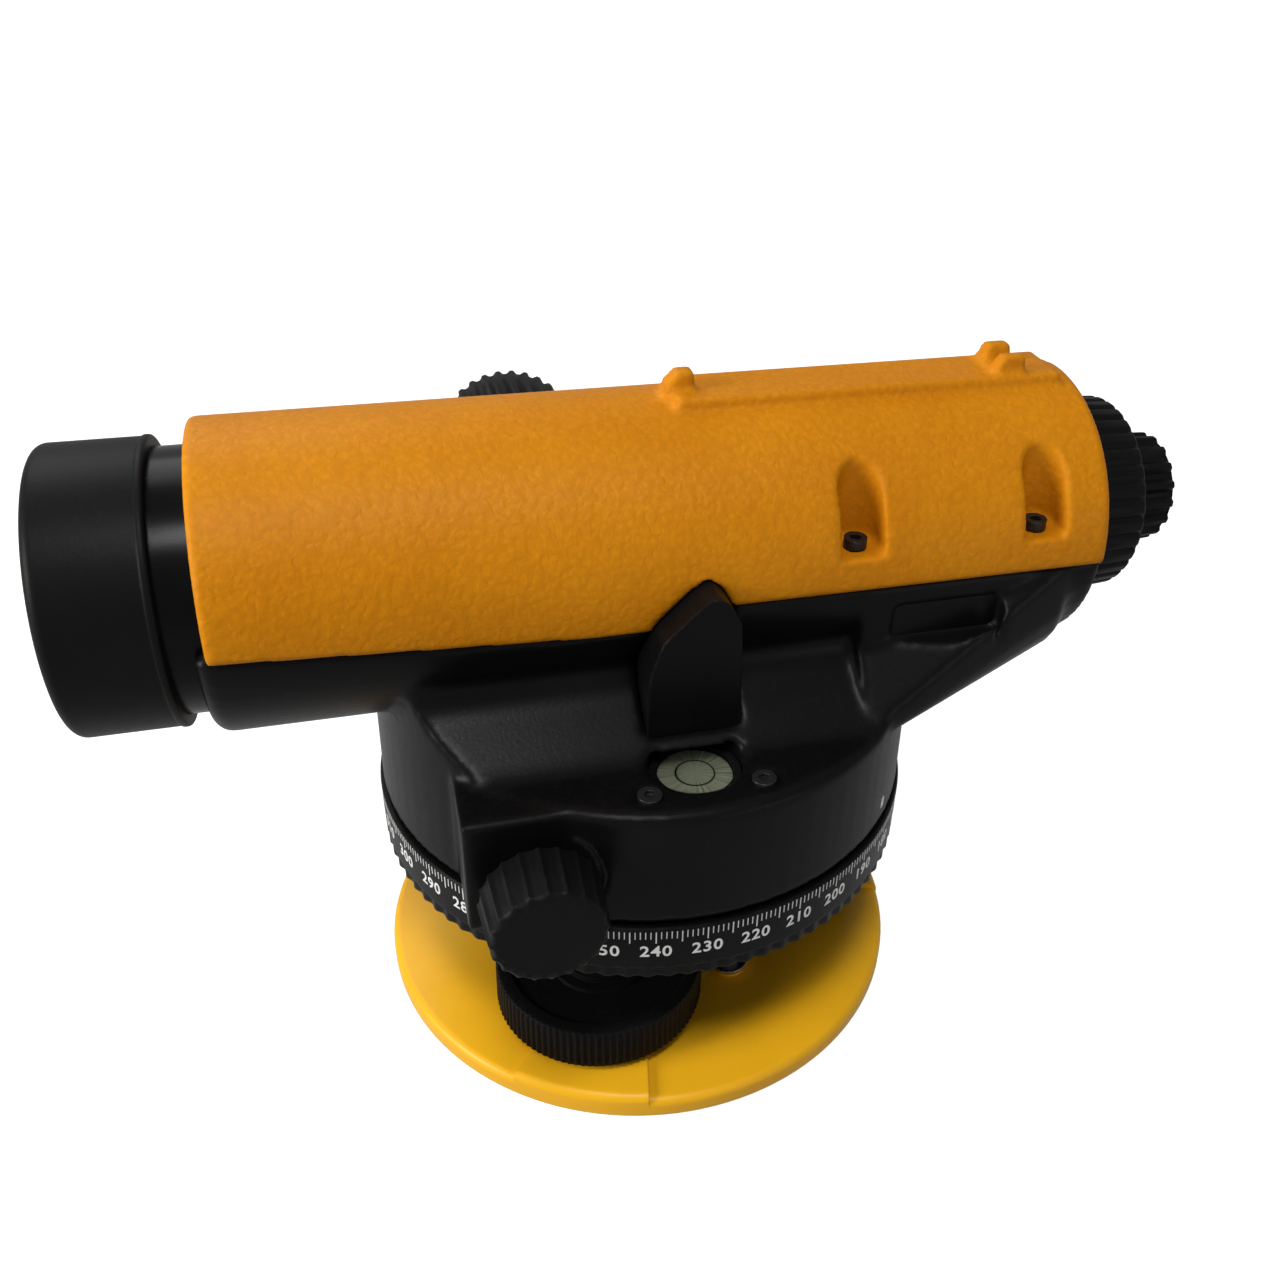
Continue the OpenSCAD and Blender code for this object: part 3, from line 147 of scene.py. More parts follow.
def camera_axes():
    a, e, r = (math.radians(x) for x in (AZIMUTH, ELEVATION, ROLL))
    back = Vector((math.sin(a) * math.cos(e), -math.cos(a) * math.cos(e), math.sin(e)))
    right = Vector((math.cos(a), math.sin(a), 0))
    up = right.cross(-back)
    turned_right = right * math.cos(r) + up * math.sin(r)
    turned_up = up * math.cos(r) - right * math.sin(r)
    return turned_right, turned_up, back


camera_data = bpy.data.cameras.new("camera")
camera = bpy.data.objects.new("camera", camera_data)
scene.collection.objects.link(camera)
camera_data.sensor_width = SENSOR
camera_data.lens = SENSOR * FOCAL_PX / IMAGE_PX
camera_data.shift_x = (IMAGE_PX / 2 - CENTRE_PX[0]) / IMAGE_PX
camera_data.shift_y = (CENTRE_PX[1] - IMAGE_PX / 2) / IMAGE_PX
camera_data.clip_start, camera_data.clip_end = 0.01, 20
camera.matrix_world = Matrix.Translation(EYE) @ Matrix(camera_axes()).transposed().to_4x4()
scene.camera = camera
print("lens", round(camera_data.lens, 2), "mm")

# %% [markdown]
# ## Shared effects
# Several finishes share the same effects: worn edges, fine grain with a slow drift of colour, settled
# dust, and the folds of wrinkle paint, whose valleys are darkened as painted shade. Each is a node group,
# built once, that puts out masks or heights.
# An image could hold them too, but nodes stay sharp at any distance and need no file.


# %% Node helpers
def new_group(name, inputs, outputs):
    """A node group whose sockets are plain numbers. Inputs are names with their defaults."""
    tree = bpy.data.node_groups.new(name, "ShaderNodeTree")
    for label, value in inputs.items():
        made = tree.interface.new_socket(label, in_out="INPUT", socket_type="NodeSocketFloat")
        made.default_value = value
    for label in outputs:
        tree.interface.new_socket(label, in_out="OUTPUT", socket_type="NodeSocketFloat")
    return tree, tree.nodes.new("NodeGroupInput").outputs, tree.nodes.new("NodeGroupOutput").inputs


def add(tree, kind, inputs=(), **values):
    """One node. Values set its properties, and inputs are pairs of a socket and its source or number."""
    made = tree.nodes.new(kind)
    for key, value in values.items():
        setattr(made, key, value)
    for key, source in inputs:
        if isinstance(source, (int, float, tuple)):
            made.inputs[key].default_value = source
        else:
            tree.links.new(source, made.inputs[key])
    return made


def math_node(tree, operation, a, b, clamp=False):
    return add(tree, "ShaderNodeMath", [(0, a), (1, b)], operation=operation, use_clamp=clamp).outputs[0]


def product(tree, a, b, clamp=False):
    return math_node(tree, "MULTIPLY", a, b, clamp)


def mix_colour(tree, factor, a, b):
    return add(tree, "ShaderNodeMix", [(0, factor), (6, a), (7, b)], data_type="RGBA").outputs[2]


# %% Patterns and ranges
def object_place(tree):
    return add(tree, "ShaderNodeTexCoord").outputs["Object"]


def noise(tree, place, scale, detail, **more):
    """A noise texture's value."""
    inputs = [("Vector", place), ("Scale", scale), ("Detail", detail), *more.items()]
    return add(tree, "ShaderNodeTexNoise", inputs).outputs[0]


def pitted(tree, place, scale):
    """Soft round pits side by side."""
    inputs = [("Vector", place), ("Scale", scale)]
    return add(tree, "ShaderNodeTexVoronoi", inputs, feature="SMOOTH_F1").outputs[0]


def stretch(tree, value, low, high):
    """Low becomes 0 and high becomes 1."""
    inputs = [("Value", value), ("From Min", low), ("From Max", high)]
    return add(tree, "ShaderNodeMapRange", inputs).outputs[0]


def between(tree, value, low, high):
    """0 becomes low and 1 becomes high."""
    return add(tree, "ShaderNodeMapRange", [("Value", value), ("To Min", low), ("To Max", high)]).outputs[0]


# %% Worn edges
def worn_edges():
    """Rubbed patches where a rounded normal leaves the plain one, which is at an edge."""
    sockets = {"Radius": 0.0005, "Amount": 0.5, "Scale": 400.0}
    tree, inside, outside = new_group("worn_edges", sockets, ["Mask"])
    rounded = add(tree, "ShaderNodeBevel", [("Radius", inside["Radius"])], samples=4).outputs[0]
    plain = add(tree, "ShaderNodeNewGeometry").outputs["Normal"]
    alike = add(tree, "ShaderNodeVectorMath", [(0, rounded), (1, plain)], operation="DOT_PRODUCT")
    edge = product(tree, math_node(tree, "SUBTRACT", 1.0, alike.outputs["Value"]), 7.0, clamp=True)
    broken = stretch(tree, noise(tree, object_place(tree), inside["Scale"], 3.0), 0.42, 0.68)
    tree.links.new(product(tree, product(tree, edge, broken), inside["Amount"], clamp=True), outside["Mask"])
    return tree


# %% Fine grain and slow drift
def surface_grain():
    tree, inside, outside = new_group("surface_grain", {"Scale": 1500.0, "Blend": 0.4}, ["Height", "Drift"])
    place = object_place(tree)
    fine = noise(tree, place, inside["Scale"], 4.0, Roughness=0.6)
    pits = pitted(tree, place, inside["Scale"])
    height = add(tree, "ShaderNodeMix", [("Factor", inside["Blend"]), (2, fine), (3, pits)]).outputs[0]
    slow = noise(tree, place, 38.0, 5.0, Roughness=0.55)
    tree.links.new(height, outside["Height"])
    tree.links.new(stretch(tree, slow, 0.3, 0.7), outside["Drift"])
    return tree


# %% Settled dust
def settled_dust():
    """Specks on what faces up."""
    tree, inside, outside = new_group("settled_dust", {"Amount": 0.2}, ["Mask"])
    shape = add(tree, "ShaderNodeNewGeometry").outputs["Normal"]
    up = add(tree, "ShaderNodeSeparateXYZ", [("Vector", shape)]).outputs["Z"]
    specks = noise(tree, object_place(tree), 900.0, 6.0, Roughness=0.75)
    lying = product(tree, stretch(tree, up, 0.35, 1.0), stretch(tree, specks, 0.5, 0.78))
    tree.links.new(product(tree, lying, inside["Amount"], clamp=True), outside["Mask"])
    return tree


# %% Wrinkle paint
FOLD_BEND = (0.0016, 0.0016, 0.0016)    # how far a fold strays, in metres


def wrinkle_paint():
    tree, inside, outside = new_group("wrinkle_paint", {"Scale": 620.0}, ["Height", "ValleyShade"])
    place = object_place(tree)
    bend = add(tree, "ShaderNodeTexNoise", [("Vector", place), ("Scale", 500.0), ("Detail", 2.0)]).outputs[1]
    inputs = [(0, bend), (1, FOLD_BEND), (2, place)]
    shifted = add(tree, "ShaderNodeVectorMath", inputs, operation="MULTIPLY_ADD").outputs[0]
    pits = pitted(tree, shifted, inside["Scale"])
    folds = noise(tree, shifted, inside["Scale"], 2.0, Roughness=0.45, Distortion=0.8)
    height = add(tree, "ShaderNodeMix", [("Factor", 0.45), (2, pits), (3, folds)]).outputs[0]
    tree.links.new(height, outside["Height"])
    # The second output marks the low parts of the folds, where a finish darkens its colour as painted shade.
    tree.links.new(stretch(tree, height, 0.25, 0.55), outside["ValleyShade"])
    return tree


GROUPS = {"edges": worn_edges(), "grain": surface_grain(), "dust": settled_dust(), "wrinkle": wrinkle_paint()}
print("shared effects:", ", ".join(GROUPS))

# %% [markdown]
# ## Finishes
# Paint, moulded plastic, anodised metal and turned metal differ in a few values only: two close
# colours, a range of roughness, the grain's size and depth, and how much the edges have rubbed. So one
# function makes them all, and each finish is one call.

# %% A finish with all shared effects
MATERIALS = {}
DUST_COLOUR = (0.42, 0.40, 0.37, 1)


def new_material(name):
    """Keeps a new material by its name, and gives its node tree and its shader's sockets."""
    material = bpy.data.materials.new(name)
    material.use_nodes = True
    MATERIALS[name] = material
    tree = material.node_tree
    return tree, tree.nodes["Principled BSDF"].inputs


def group_node(tree, name, **values):
    made = tree.nodes.new("ShaderNodeGroup")
    made.node_tree = GROUPS[name]
    for key, value in values.items():
        made.inputs[key].default_value = value
    return made.outputs


def finish(name, dark, light, rough, worn, metallic=0.0, grain=1500.0, depth=0.00002, wear=0.35, dust=0.1,
           rounding=0.0004, wrinkle=None, gloss=0.4):
    """Dark and light are colours that drift, rough is (least, most), worn is the rubbed edge's colour."""
    tree, shader = new_material(name)
    shader["Metallic"].default_value = metallic
    shader["Specular IOR Level"].default_value = gloss
    surface = group_node(tree, "grain", Scale=grain)
    colour = mix_colour(tree, surface["Drift"], (*dark, 1), (*light, 1))
    height = surface["Height"]
    if wrinkle:
        folds = group_node(tree, "wrinkle", Scale=wrinkle)
        height = folds["Height"]
        # Painted shade: the colour darkens towards the valleys of the folds.
        valley_shade_colour = (*[part * 0.6 for part in dark], 1)
        colour = mix_colour(tree, product(tree, folds["ValleyShade"], 0.25), colour, valley_shade_colour)
    edges = group_node(tree, "edges", Radius=rounding, Amount=wear)
    colour = mix_colour(tree, edges["Mask"], colour, (*worn, 1))
    fall = group_node(tree, "dust", Amount=dust)
    tree.links.new(mix_colour(tree, fall["Mask"], colour, DUST_COLOUR), shader["Base Color"])
    spread = between(tree, surface["Height"], *rough)
    tree.links.new(math_node(tree, "ADD", spread, product(tree, fall["Mask"], 0.3)), shader["Roughness"])
    soft = add(tree, "ShaderNodeBevel", [("Radius", rounding)], samples=4).outputs[0]
    bump = add(tree, "ShaderNodeBump", [("Height", height), ("Normal", soft), ("Distance", depth)])
    tree.links.new(bump.outputs[0], shader["Normal"])


# %% Paint, plastic and anodised metal
INK = (0.003, 0.003, 0.0033)
finish("cover_paint", (0.61, 0.210, 0.003), (0.69, 0.255, 0.005), (0.42, 0.55), (0.80, 0.42, 0.06),
       wrinkle=760.0, depth=0.00018, wear=0.2, dust=0.01, rounding=0.0006, gloss=0.1)
finish("base_paint", (0.85, 0.42, 0.009), (0.91, 0.48, 0.013), (0.30, 0.40), (0.9, 0.55, 0.1),
       grain=900.0, depth=0.000012, wear=0.2, dust=0.01, rounding=0.0006, gloss=0.25)
finish("body_paint", (0.0028, 0.0028, 0.003), (0.0044, 0.0044, 0.0046), (0.26, 0.4), (0.05, 0.05, 0.05),
       grain=1400.0, depth=0.00003, wear=0.3, dust=0.01, rounding=0.0008, gloss=0.085)
finish("black_plastic", (0.0038, 0.0038, 0.004), (0.006, 0.006, 0.0062), (0.38, 0.5), (0.03, 0.03, 0.03),
       grain=2400.0, depth=0.00003, wear=0.25, dust=0.01, rounding=0.0004, gloss=0.07)
finish("anodised", INK, (0.0045, 0.0045, 0.005), (0.2, 0.3), (0.15, 0.15, 0.155),
       grain=2600.0, depth=0.00001, wear=0.3, dust=0.01, gloss=0.08)
print("finishes:", len(MATERIALS))

# %% Bare metals, the scale's white and the ring's ink
TURNED = {"grain": 2400.0, "depth": 0.00001, "dust": 0.02}
# The screws' steel is darkened as painted shade, for the shade in the cover's pockets and under the ring.
finish("shade_darkened_steel", (0.022, 0.022, 0.023), (0.04, 0.04, 0.041), (0.3, 0.45), (0.3, 0.3, 0.3),
       metallic=0.6, grain=2400.0, depth=0.00001, wear=0.3, dust=0.01, rounding=0.0002)
finish("bare_aluminium", (0.55, 0.55, 0.57), (0.66, 0.66, 0.68), (0.28, 0.4), (0.8, 0.8, 0.8),
       metallic=1.0, grain=2000.0, depth=0.00001, wear=0.2, dust=0.02)
finish("steel", (0.50, 0.50, 0.52), (0.62, 0.62, 0.64), (0.2, 0.32), (0.8, 0.8, 0.8),
       metallic=1.0, wear=0.2, rounding=0.0002, **TURNED)
finish("brass", (0.60, 0.40, 0.14), (0.70, 0.50, 0.20), (0.22, 0.34), (0.85, 0.7, 0.4),
       metallic=1.0, wear=0.2, rounding=0.0002, **TURNED)
finish("copper", (0.62, 0.28, 0.16), (0.72, 0.36, 0.22), (0.25, 0.36), (0.9, 0.55, 0.4),
       metallic=1.0, wear=0.2, **TURNED)
finish("magnet", (0.05, 0.05, 0.055), (0.08, 0.08, 0.085), (0.35, 0.5), (0.3, 0.3, 0.3),
       metallic=0.8, wear=0.3, **TURNED)
finish("scale_white", (0.78, 0.79, 0.78), (0.88, 0.89, 0.88), (0.45, 0.6), (0.7, 0.7, 0.7),
       grain=4000.0, depth=0.000005, wear=0.0, dust=0.0, rounding=0.0001)
finish("ring_ink", INK, (0.010, 0.010, 0.006), (0.3, 0.4), (0.05, 0.05, 0.05),
       wear=0.0, dust=0.0, rounding=0.0001)
print("finishes:", len(MATERIALS))

# %% [markdown]
# Glass is a plain transmissive shader. The lenses have a faint green tint, and a slow smear in the
# roughness keeps them from looking too perfect.

# %% Glass
GLASS_IOR = 1.52
GLASS_ROUGHNESS = (0.02, 0.07)


def glass(name, tint):
    tree, shader = new_material(name)
    shader["Transmission Weight"].default_value = 1.0
    shader["IOR"].default_value = GLASS_IOR
    shader["Metallic"].default_value = 0.0
    smear = noise(tree, object_place(tree), 120.0, 3.0)
    colour = mix_colour(tree, smear, (*tint, 1), (*[min(1, c * 1.03) for c in tint], 1))
    tree.links.new(colour, shader["Base Color"])
    tree.links.new(between(tree, smear, *GLASS_ROUGHNESS), shader["Roughness"])


glass("lens_glass", (0.90, 0.96, 0.93))
glass("prism_glass", (0.93, 0.97, 0.97))
print("with glass:", len(MATERIALS))

# %% [markdown]
# The floor of the bubble is turned metal under pale green fluid, so fine rays run out from its middle.
# The rays are a noise that reads only the angle about the middle. They vary the roughness, and the lighter
# rays in the colour are a painted highlight of the turned metal's glints.


# %% The bubble's floor
def bubble_floor():
    tree, shader = new_material("bubble_floor")
    centre = (*VIAL_XY, 0.0)
    inputs = [(0, object_place(tree)), (1, centre)]
    centred = add(tree, "ShaderNodeVectorMath", inputs, operation="SUBTRACT").outputs[0]
    parts = add(tree, "ShaderNodeSeparateXYZ", [("Vector", centred)])
    angle = math_node(tree, "ARCTAN2", parts.outputs["Y"], parts.outputs["X"])
    inputs = [("W", angle), ("Scale", 9.0), ("Detail", 4.0)]
    rays = add(tree, "ShaderNodeTexNoise", inputs, noise_dimensions="1D").outputs[0]
    # The lighter rays in the colour are a painted highlight: glints of the turned metal.
    colour = mix_colour(tree, stretch(tree, rays, 0.3, 0.7), (0.20, 0.205, 0.14, 1), (0.37, 0.375, 0.27, 1))
    tree.links.new(colour, shader["Base Color"])
    tree.links.new(between(tree, rays, 0.22, 0.4), shader["Roughness"])
    shader["Metallic"].default_value = 0.25
    shader["Coat Weight"].default_value = 0.6


bubble_floor()
print("materials:", ", ".join(MATERIALS))

# %% [markdown]
# ## Finishes on the frame's own solids
# A solid whose shape is right stays as it is. It only gets its material, and smooth shading that keeps
# the real edges sharp: its loose triangles are welded and split again at the edges by two modifiers.
# The few that a casting or a grip stands for later are dressed with the rest.

# %% Give each solid its finish
WELD_GAP = 0.000004
SHARP_ANGLE = 32    # degrees
NODE_FINISH = {
    "cover_paint": "top_cover",
    "base_paint": "base_plate",
    "body_paint": "main_housing tribrach horizontal_circle bottom_cover viewer_housing label_plate",
    "black_plastic": "foot_wheel_a foot_wheel_b foot_wheel_c lens_cap focus_knob reticle_cover eyepiece_knob"
                     " tangent_knob_left tangent_knob_right vial_holder",
    "anodised": "objective_tube objective_ring focus_guide eyepiece_sleeve eyepiece_barrel",
    "bare_aluminium": "compensator_frame",
    "magnet": "damper_magnets",
    "steel": "spring_plate bearing_sleeve foot_spindle_a foot_spindle_b foot_spindle_c clutch_spring"
             " vertical_spindle bottom_cover_screws suspension_wires reticle_screws focus_shaft"
             " tangent_shaft tangent_worm",
    "brass": "foot_bushes clutch_nut worm_wheel spindle_nut focus_carrier focus_rack pendulum_cradle"
             " reticle_cell shaft_bushes",
    # These screws get steel that is darkened as painted shade.
    "shade_darkened_steel": "cover_screws vial_screws spring_plate_screws",
    "copper": "damper_vane",
    "lens_glass": "objective_lens focus_lens reticle_glass eyepiece_lenses vial_glass",
    "prism_glass": "viewer_prism fixed_prisms pendulum_prism",
    "scale_white": "index_plate",
}


def dress(solid, material):
    solid.data.materials.clear()
    solid.data.materials.append(material)
    solid.data.polygons.foreach_set("use_smooth", [True] * len(solid.data.polygons))
    weld = solid.modifiers.new("Weld", "WELD")
    weld.merge_threshold = WELD_GAP
    split = solid.modifiers.new("EdgeSplit", "EDGE_SPLIT")
    split.split_angle = math.radians(SHARP_ANGLE)


dressed = set()
for finish_name, names in NODE_FINISH.items():
    for node_name in names.split():
        dress(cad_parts[node_name], MATERIALS[finish_name])
        dressed.add(node_name)
left_out = sorted(set(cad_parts) - dressed)
print("dressed", len(dressed), "of", len(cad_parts), "solids; left:", left_out)

# %% [markdown]
# ## Castings with soft edges
# The cover and the housing are die castings, and none of their edges is sharp. A copy of the solid is
# merged, remeshed to a fine even skin and smoothed a little, which rounds every edge and inner corner
# by about a millimetre, as a mould does. A bevel would break on so many curved joins.

# %% A casting from its solid
COVER_SKIN = 0.0007       # size of the even skin's squares, in metres
HOUSING_SKIN = 0.00095


def casting(node_name, name, material, skin, rounds):
    """Replaces one solid by a softened copy. Rounds is how often the skin is smoothed."""
    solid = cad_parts[node_name]
    copy = solid.copy()
    copy.data = solid.data.copy()
    copy.modifiers.clear()
    for key in list(copy.keys()):
        del copy[key]
    copy.parent = None
    scene.collection.objects.link(copy)
    pick(copy, lambda vert: True, kind="VERT")
    bpy.ops.mesh.remove_doubles(threshold=WELD_GAP)
    bpy.ops.object.mode_set(mode="OBJECT")
    apply_modifier(copy, "REMESH", mode="VOXEL", voxel_size=skin, use_smooth_shade=True)
    apply_modifier(copy, "SMOOTH", factor=0.5, iterations=rounds)
    take(copy)
    bpy.ops.object.shade_smooth()
    finish_piece(copy, name, "alidade", material, replaced=[node_name])


casting("top_cover", "cover_casting", "cover_paint", COVER_SKIN, 2)
casting("main_housing", "housing_casting", "body_paint", HOUSING_SKIN, 3)

# %% [markdown]
# ## Ribbed grips
# The knobs are moulded with narrow raised ribs. A cylinder with several corners per rib is added, and
# the corners at each rib are pushed outwards by scaling them, the crest most and the shoulders less.
# The ends are drawn in and made round before their faces are inset, so that light catches a soft edge.

# %% A ribbed grip along an axis
STEPS = 8    # corners of the cylinder per rib


def raise_ribs(grip, ribs, crest, full):
    """Full is the crest's radius as a share of the cylinder's. The shoulders reach part of the way."""
    shoulder = full * 0.45 + 0.55
    for height, shares in ((full, range(-crest, crest + 1)), (shoulder, (-crest - 1, crest + 1))):
        wanted = {share % STEPS for share in shares}

        def at_rib(vert):
            return round(math.atan2(vert.co.y, vert.co.x) / math.tau * ribs * STEPS) % STEPS in wanted

        pick(grip, at_rib, kind="VERT")
        bpy.ops.transform.resize(value=(height, height, 1))


def round_end(grip, end, edge, radius):
    """Draws one end in by two steps, makes its rim round and insets its face. End is 1 or -1."""
    pick(grip, lambda face: face.normal.z * end > 0.9)
    for rise, draw in ((0.62, 0.38), (0.38, 0.62)):
        bpy.ops.mesh.extrude_region_move(TRANSFORM_OT_translate={"value": (0, 0, end * edge * rise)})
        shrink = 1 - edge * draw / radius
        bpy.ops.transform.resize(value=(shrink, shrink, 1))
    bpy.ops.transform.tosphere(value=1)
    bpy.ops.mesh.inset(thickness=radius * 0.12)


def ribbed_grip(ribs, radius, far_radius, length, depth, edge, crest=1):
    """A closed grip that stands on z = 0. Crest is how many corners beside a rib's middle are full."""
    deselect()
    bpy.ops.mesh.primitive_cylinder_add(vertices=ribs * STEPS, radius=radius - depth,
                                        depth=length - 2 * edge, location=(0, 0, length / 2))
    grip = apply_place(bpy.context.active_object)
    raise_ribs(grip, ribs, crest, radius / (radius - depth))
    pick(grip, lambda vert: vert.co.z > length / 2, kind="VERT")
    bpy.ops.transform.resize(value=(far_radius / radius, far_radius / radius, 1))
    for end in (1, -1):
        round_end(grip, end, edge, radius)
    bpy.ops.object.mode_set(mode="OBJECT")
    return grip


# %% Setting a grip in its place
def stand(obj, place, turn):
    """Turns a piece from its own z axis to where it goes, and applies that."""
    obj.matrix_world = Matrix.Translation(Vector(place)) @ Matrix.Rotation(math.radians(turn[0]), 4, turn[1])
    return apply_place(obj)


def bore(obj, place, turn, radius, start, end):
    """Cuts a round hole along the piece's axis."""
    deselect()
    bpy.ops.mesh.primitive_cylinder_add(vertices=64, radius=radius, depth=end - start,
                                        location=(0, 0, (start + end) / 2))
    cutter = apply_place(bpy.context.active_object)
    stand(cutter, place, turn)
    apply_modifier(obj, "BOOLEAN", object=cutter, operation="DIFFERENCE", solver="EXACT")
    bpy.data.objects.remove(cutter, do_unlink=True)


def set_grip(grip, name, body, replaced, place, turn, bores):
    """Stands a grip in its place and bores it. A bore is (radius, start, end), along the grip."""
    stand(grip, place, turn)
    for radius, start, end in bores:
        bore(grip, place, turn, radius, start, end)
    smooth_by_angle(grip)
    finish_piece(grip, name, body, "black_plastic", replaced=[replaced])


# %% [markdown]
# The two tangent knobs sit on one shaft, one on each side, so that either hand can turn them. They
# widen a little towards the drum. A blind bore takes the shaft's end.

# %% Tangent knobs
TANGENT_X, TANGENT_Z = 32 * MM, 66.3 * MM    # axis of the tangent shaft
TANGENT_FACE = 53.7 * MM     # where the knob starts, to either side
SHAFT_BORE = 3.02 * MM
for side, label in ((1, "left"), (-1, "right")):
    knob = ribbed_grip(ribs=20, radius=11.6 * MM, far_radius=10.9 * MM, length=12.1 * MM,
                       depth=0.5 * MM, edge=0.9 * MM, crest=0)
    set_grip(knob, f"tangent_grip_{label}", "tangent", f"tangent_knob_{label}",
             (TANGENT_X, side * TANGENT_FACE, TANGENT_Z), (-90 * side, "X"),
             [(SHAFT_BORE, -1 * MM, 9.5 * MM)])

# %% [markdown]
# The focusing knob is larger than the tangent knobs, because it is turned often and far. It sits on
# the end of its shaft, on the right of the telescope.

# %% Focusing knob
FOCUS_X, FOCUS_FACE = 20.3 * MM, -39.5 * MM    # the shaft's place, and where the knob starts
knob = ribbed_grip(ribs=30, radius=16.0 * MM, far_radius=15.5 * MM, length=15.5 * MM,
                   depth=0.8 * MM, edge=1.0 * MM)
set_grip(knob, "focusing_grip", "focus_drive", "focus_knob", (FOCUS_X, FOCUS_FACE, AXIS_Z), (90, "X"),
         [(SHAFT_BORE, -1 * MM, 13 * MM)])

# %% [markdown]
# The eyepiece knob has fewer and deeper lobes. A wide bore fits over the eyepiece's barrel, and a
# narrow one through its end is what the eye looks into.

# %% Eyepiece knob
EYE_END, EYE_LENGTH = -116.4 * MM, 9.2 * MM    # rear end of the knob, and its length
knob = ribbed_grip(ribs=17, radius=12.3 * MM, far_radius=11.9 * MM, length=EYE_LENGTH,
                   depth=1.3 * MM, edge=0.6 * MM)
set_grip(knob, "eyepiece_grip", "eyepiece", "eyepiece_knob", (EYE_END + EYE_LENGTH, 0, AXIS_Z), (-90, "Y"),
         [(10.02 * MM, -1 * MM, 7.7 * MM), (5.5 * MM, 7 * MM, 11 * MM)])

# %% [markdown]
# The reticle cover screws on behind the telescope and hides the reticle's adjusting screws. It is a
# hollow cap with a round opening for the eyepiece's sleeve, so it gets two bores as well.

# %% Reticle cover
COVER_FACE = -89.3 * MM    # where the cover starts, just behind the telescope's shell
knob = ribbed_grip(ribs=34, radius=21.6 * MM, far_radius=20.9 * MM, length=14.2 * MM,
                   depth=0.6 * MM, edge=1.0 * MM, crest=2)
set_grip(knob, "reticle_shroud", "alidade", "reticle_cover", (COVER_FACE, 0, AXIS_Z), (-90, "Y"),
         [(19.2 * MM, -1 * MM, 12.1 * MM), (13.02 * MM, 11 * MM, 20 * MM)])

# %% [markdown]
# ## The circle's scale
# The ring is graduated in degrees, with a longer line at each five and a number at each ten. One thin
# block is added and copied round the ring; the numbers are text made a mesh and wrapped on the ring.
# The zero stands where the picture's 230 falls at the observer's left.

# %% Graduation lines
SCALE_ZERO = 319.43              # degrees from the frame's X axis
LINE_TOP = 53.9 * MM             # height of the lines' upper ends
LINE_LIFT = 0.04 * MM            # how far lines and numbers stand out of the ring
LONG, MIDDLE, SHORT = 3.0, 2.9, 1.85    # lengths in millimetres
WIDE, NARROW = 0.24, 0.19               # widths in millimetres


def scale_angle(degree):
    return math.radians(SCALE_ZERO - degree)


def graduation_line(degree):
    length = (LONG if degree % 10 == 0 else MIDDLE if degree % 5 == 0 else SHORT) * MM
    width = (WIDE if degree % 5 == 0 else NARROW) * MM
    bpy.ops.mesh.primitive_cube_add(size=1, location=(RING_R, 0, LINE_TOP - length / 2),
                                    scale=(2 * LINE_LIFT, width, length))
    line = bpy.context.active_object
    bpy.ops.object.transform_apply(location=True, rotation=True, scale=True)
    line.data.transform(Matrix.Rotation(scale_angle(degree), 4, "Z"))
    return line


deselect()
lines = join([graduation_line(degree) for degree in range(360)])
finish_piece(lines, "graduation_lines", "circle", "scale_white")

# %% Numbers
NUMBER_Z = 48.6 * MM         # height of the numbers' middle
NUMBER_SIZE = 3.95 * MM
NUMBER_SPACING = 1.1
NUMBER_WEIGHT = 0.07 * MM    # how much the strokes are widened


def ring_number(degree):
    bpy.ops.object.text_add(location=(0, 0, 0))
    text = bpy.context.active_object
    text.data.body = str(degree)
    text.data.align_x, text.data.align_y = "CENTER", "CENTER"
    text.data.size = NUMBER_SIZE
    text.data.space_character = NUMBER_SPACING
    text.data.extrude = LINE_LIFT
    text.data.resolution_u = 3
    text.data.offset = NUMBER_WEIGHT
    bpy.ops.object.convert(target="MESH")
    shape = bpy.context.active_object
    for vert in shape.data.vertices:
        turn = scale_angle(degree) + vert.co.x / RING_R
        out = RING_R + vert.co.z
        vert.co = (out * math.cos(turn), out * math.sin(turn), NUMBER_Z + vert.co.y)
    return shape


deselect()
numbers = join([ring_number(degree) for degree in range(0, 360, 10)])
finish_piece(numbers, "ring_numbers", "circle", "scale_white")

# %% [markdown]
# ## The circular bubble
# Under the domed glass lies pale green fluid over a turned metal floor, and a black ring marks the
# middle. The floor is a disc whose top is inset twice and raised a little, so it is faintly domed.

# %% Bubble
VIAL_TOP = SHELF_Z - 3.3 * MM
FLUID_R, FLUID_DEPTH = 7.3 * MM, 0.5 * MM
MARK_R, MARK_WIDTH = 3.75 * MM, 0.19 * MM
deselect()
bpy.ops.mesh.primitive_cylinder_add(vertices=64, radius=FLUID_R, depth=FLUID_DEPTH,
                                    location=(*VIAL_XY, VIAL_TOP - 0.75 * MM))
fluid = apply_place(bpy.context.active_object)
pick(fluid, lambda face: face.normal.z > 0.9)
for inset, rise in ((0.5 * MM, 0.12 * MM), (3 * MM, 0.06 * MM)):
    bpy.ops.mesh.inset(thickness=inset)
    bpy.ops.transform.translate(value=(0, 0, rise))
bpy.ops.object.mode_set(mode="OBJECT")
smooth_by_angle(fluid)
finish_piece(fluid, "bubble_fluid", "alidade", "bubble_floor")

# %% The ring in the middle
deselect()
bpy.ops.mesh.primitive_torus_add(major_segments=96, minor_segments=8, major_radius=MARK_R,
                                 minor_radius=MARK_WIDTH, location=(*VIAL_XY, VIAL_TOP - 0.3 * MM))
ring = apply_place(bpy.context.active_object)
bpy.ops.object.shade_smooth()
finish_piece(ring, "bubble_ring", "alidade", "ring_ink")

# %% [markdown]
# ## Light, floor and background
# The instrument stands on a pale floor under large soft lamps. The white behind it comes from the
# floor's and the world's own colour where the camera, a gloss or a glass sees them.

# %% Floor
IN_GLOSS = 0.3    # how much of the white a reflection sees


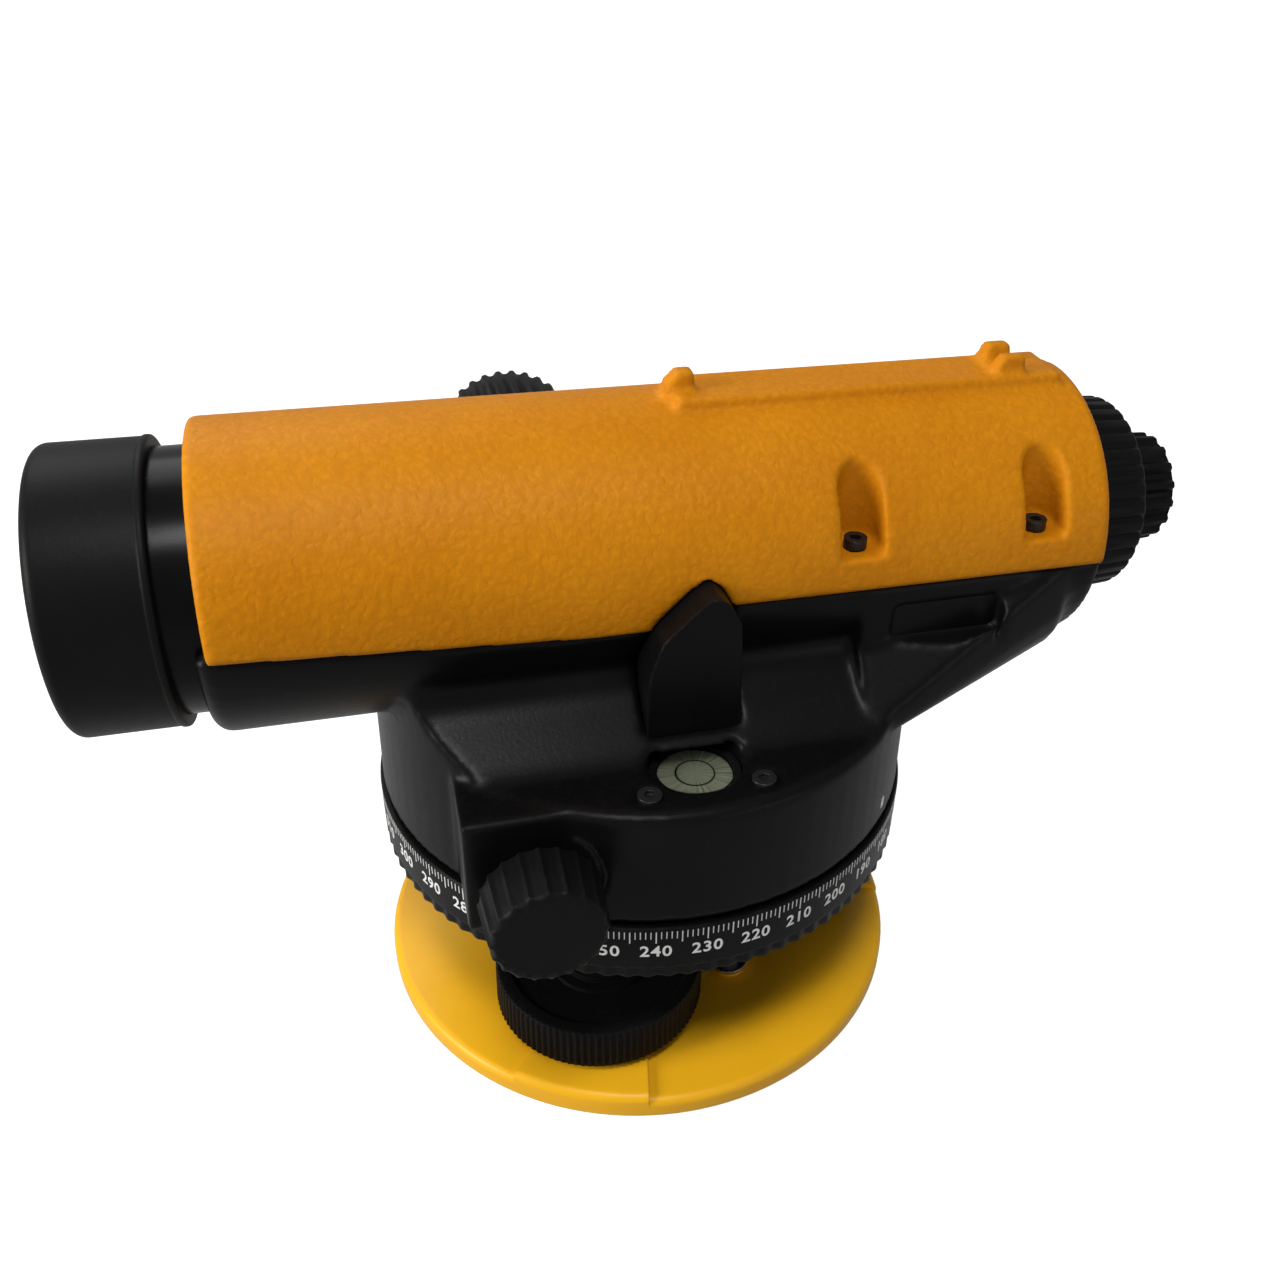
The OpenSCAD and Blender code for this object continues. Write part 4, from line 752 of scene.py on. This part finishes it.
def seen_directly(tree):
    """One for rays from the camera or through glass, and a smaller share for reflections."""
    rays = tree.nodes.new("ShaderNodeLightPath").outputs
    direct = math_node(tree, "MAXIMUM", rays["Is Camera Ray"], rays["Is Transmission Ray"])
    return math_node(tree, "MAXIMUM", direct, product(tree, rays["Is Glossy Ray"], IN_GLOSS))


deselect()
bpy.ops.mesh.primitive_plane_add(size=6, location=(0, 0, 0))
floor = bpy.context.active_object
floor.name = "floor"
tree, shader = new_material("floor_finish")
shader["Base Color"].default_value = (0.3, 0.3, 0.3, 1)
shader["Roughness"].default_value = 0.7
shader["Emission Color"].default_value = (1, 1, 1, 1)
tree.links.new(product(tree, seen_directly(tree), 0.95), shader["Emission Strength"])
floor.data.materials.append(MATERIALS["floor_finish"])
print("floor", [round(length, 1) for length in floor.dimensions], "m")

# %% World
ROOM_LIGHT = (0.13, 0.131, 0.134, 1)
BACKGROUND = (1.05, 1.05, 1.05, 1)
world = bpy.data.worlds.new("studio")
scene.world = world
world.use_nodes = True
tree = world.node_tree
backdrop = tree.nodes["Background"]
tree.links.new(mix_colour(tree, seen_directly(tree), ROOM_LIGHT, BACKGROUND), backdrop.inputs["Color"])
print("world:", world.name)

# %% [markdown]
# The overhead lamp stands where the shadow of the ring on the base plate says. A wide lamp on the left
# lights the objective's end, one behind draws the crown of the cover, and a low one in front opens the
# shadows under the telescope.


# %% Lamps
def lamp(name, place, target, size, watts, colour=(1, 1, 1)):
    data = bpy.data.lights.new(name, "AREA")
    data.shape, data.size, data.energy, data.color = "SQUARE", size, watts, colour
    made = bpy.data.objects.new(name, data)
    scene.collection.objects.link(made)
    made.location = place
    made.rotation_euler = (Vector(target) - Vector(place)).to_track_quat("-Z", "Y").to_euler()
    print("lamp", name, watts, "W")


lamp("overhead", (0.16, 0.44, 1.1), (0, 0, 0.04), 0.25, 6.2)
lamp("left", (0.95, 0.15, 0.4), (0, 0, 0.02), 0.4, 8.5, (1, 0.98, 0.94))
lamp("back", (0.3, -0.6, 0.75), (0, 0, 0.09), 0.5, 2.5)
lamp("low", (-0.55, 0.85, 0.08), (-0.04, 0, 0.1), 0.5, 1.5, (1, 0.95, 0.88))
scene.view_settings.view_transform = "Standard"
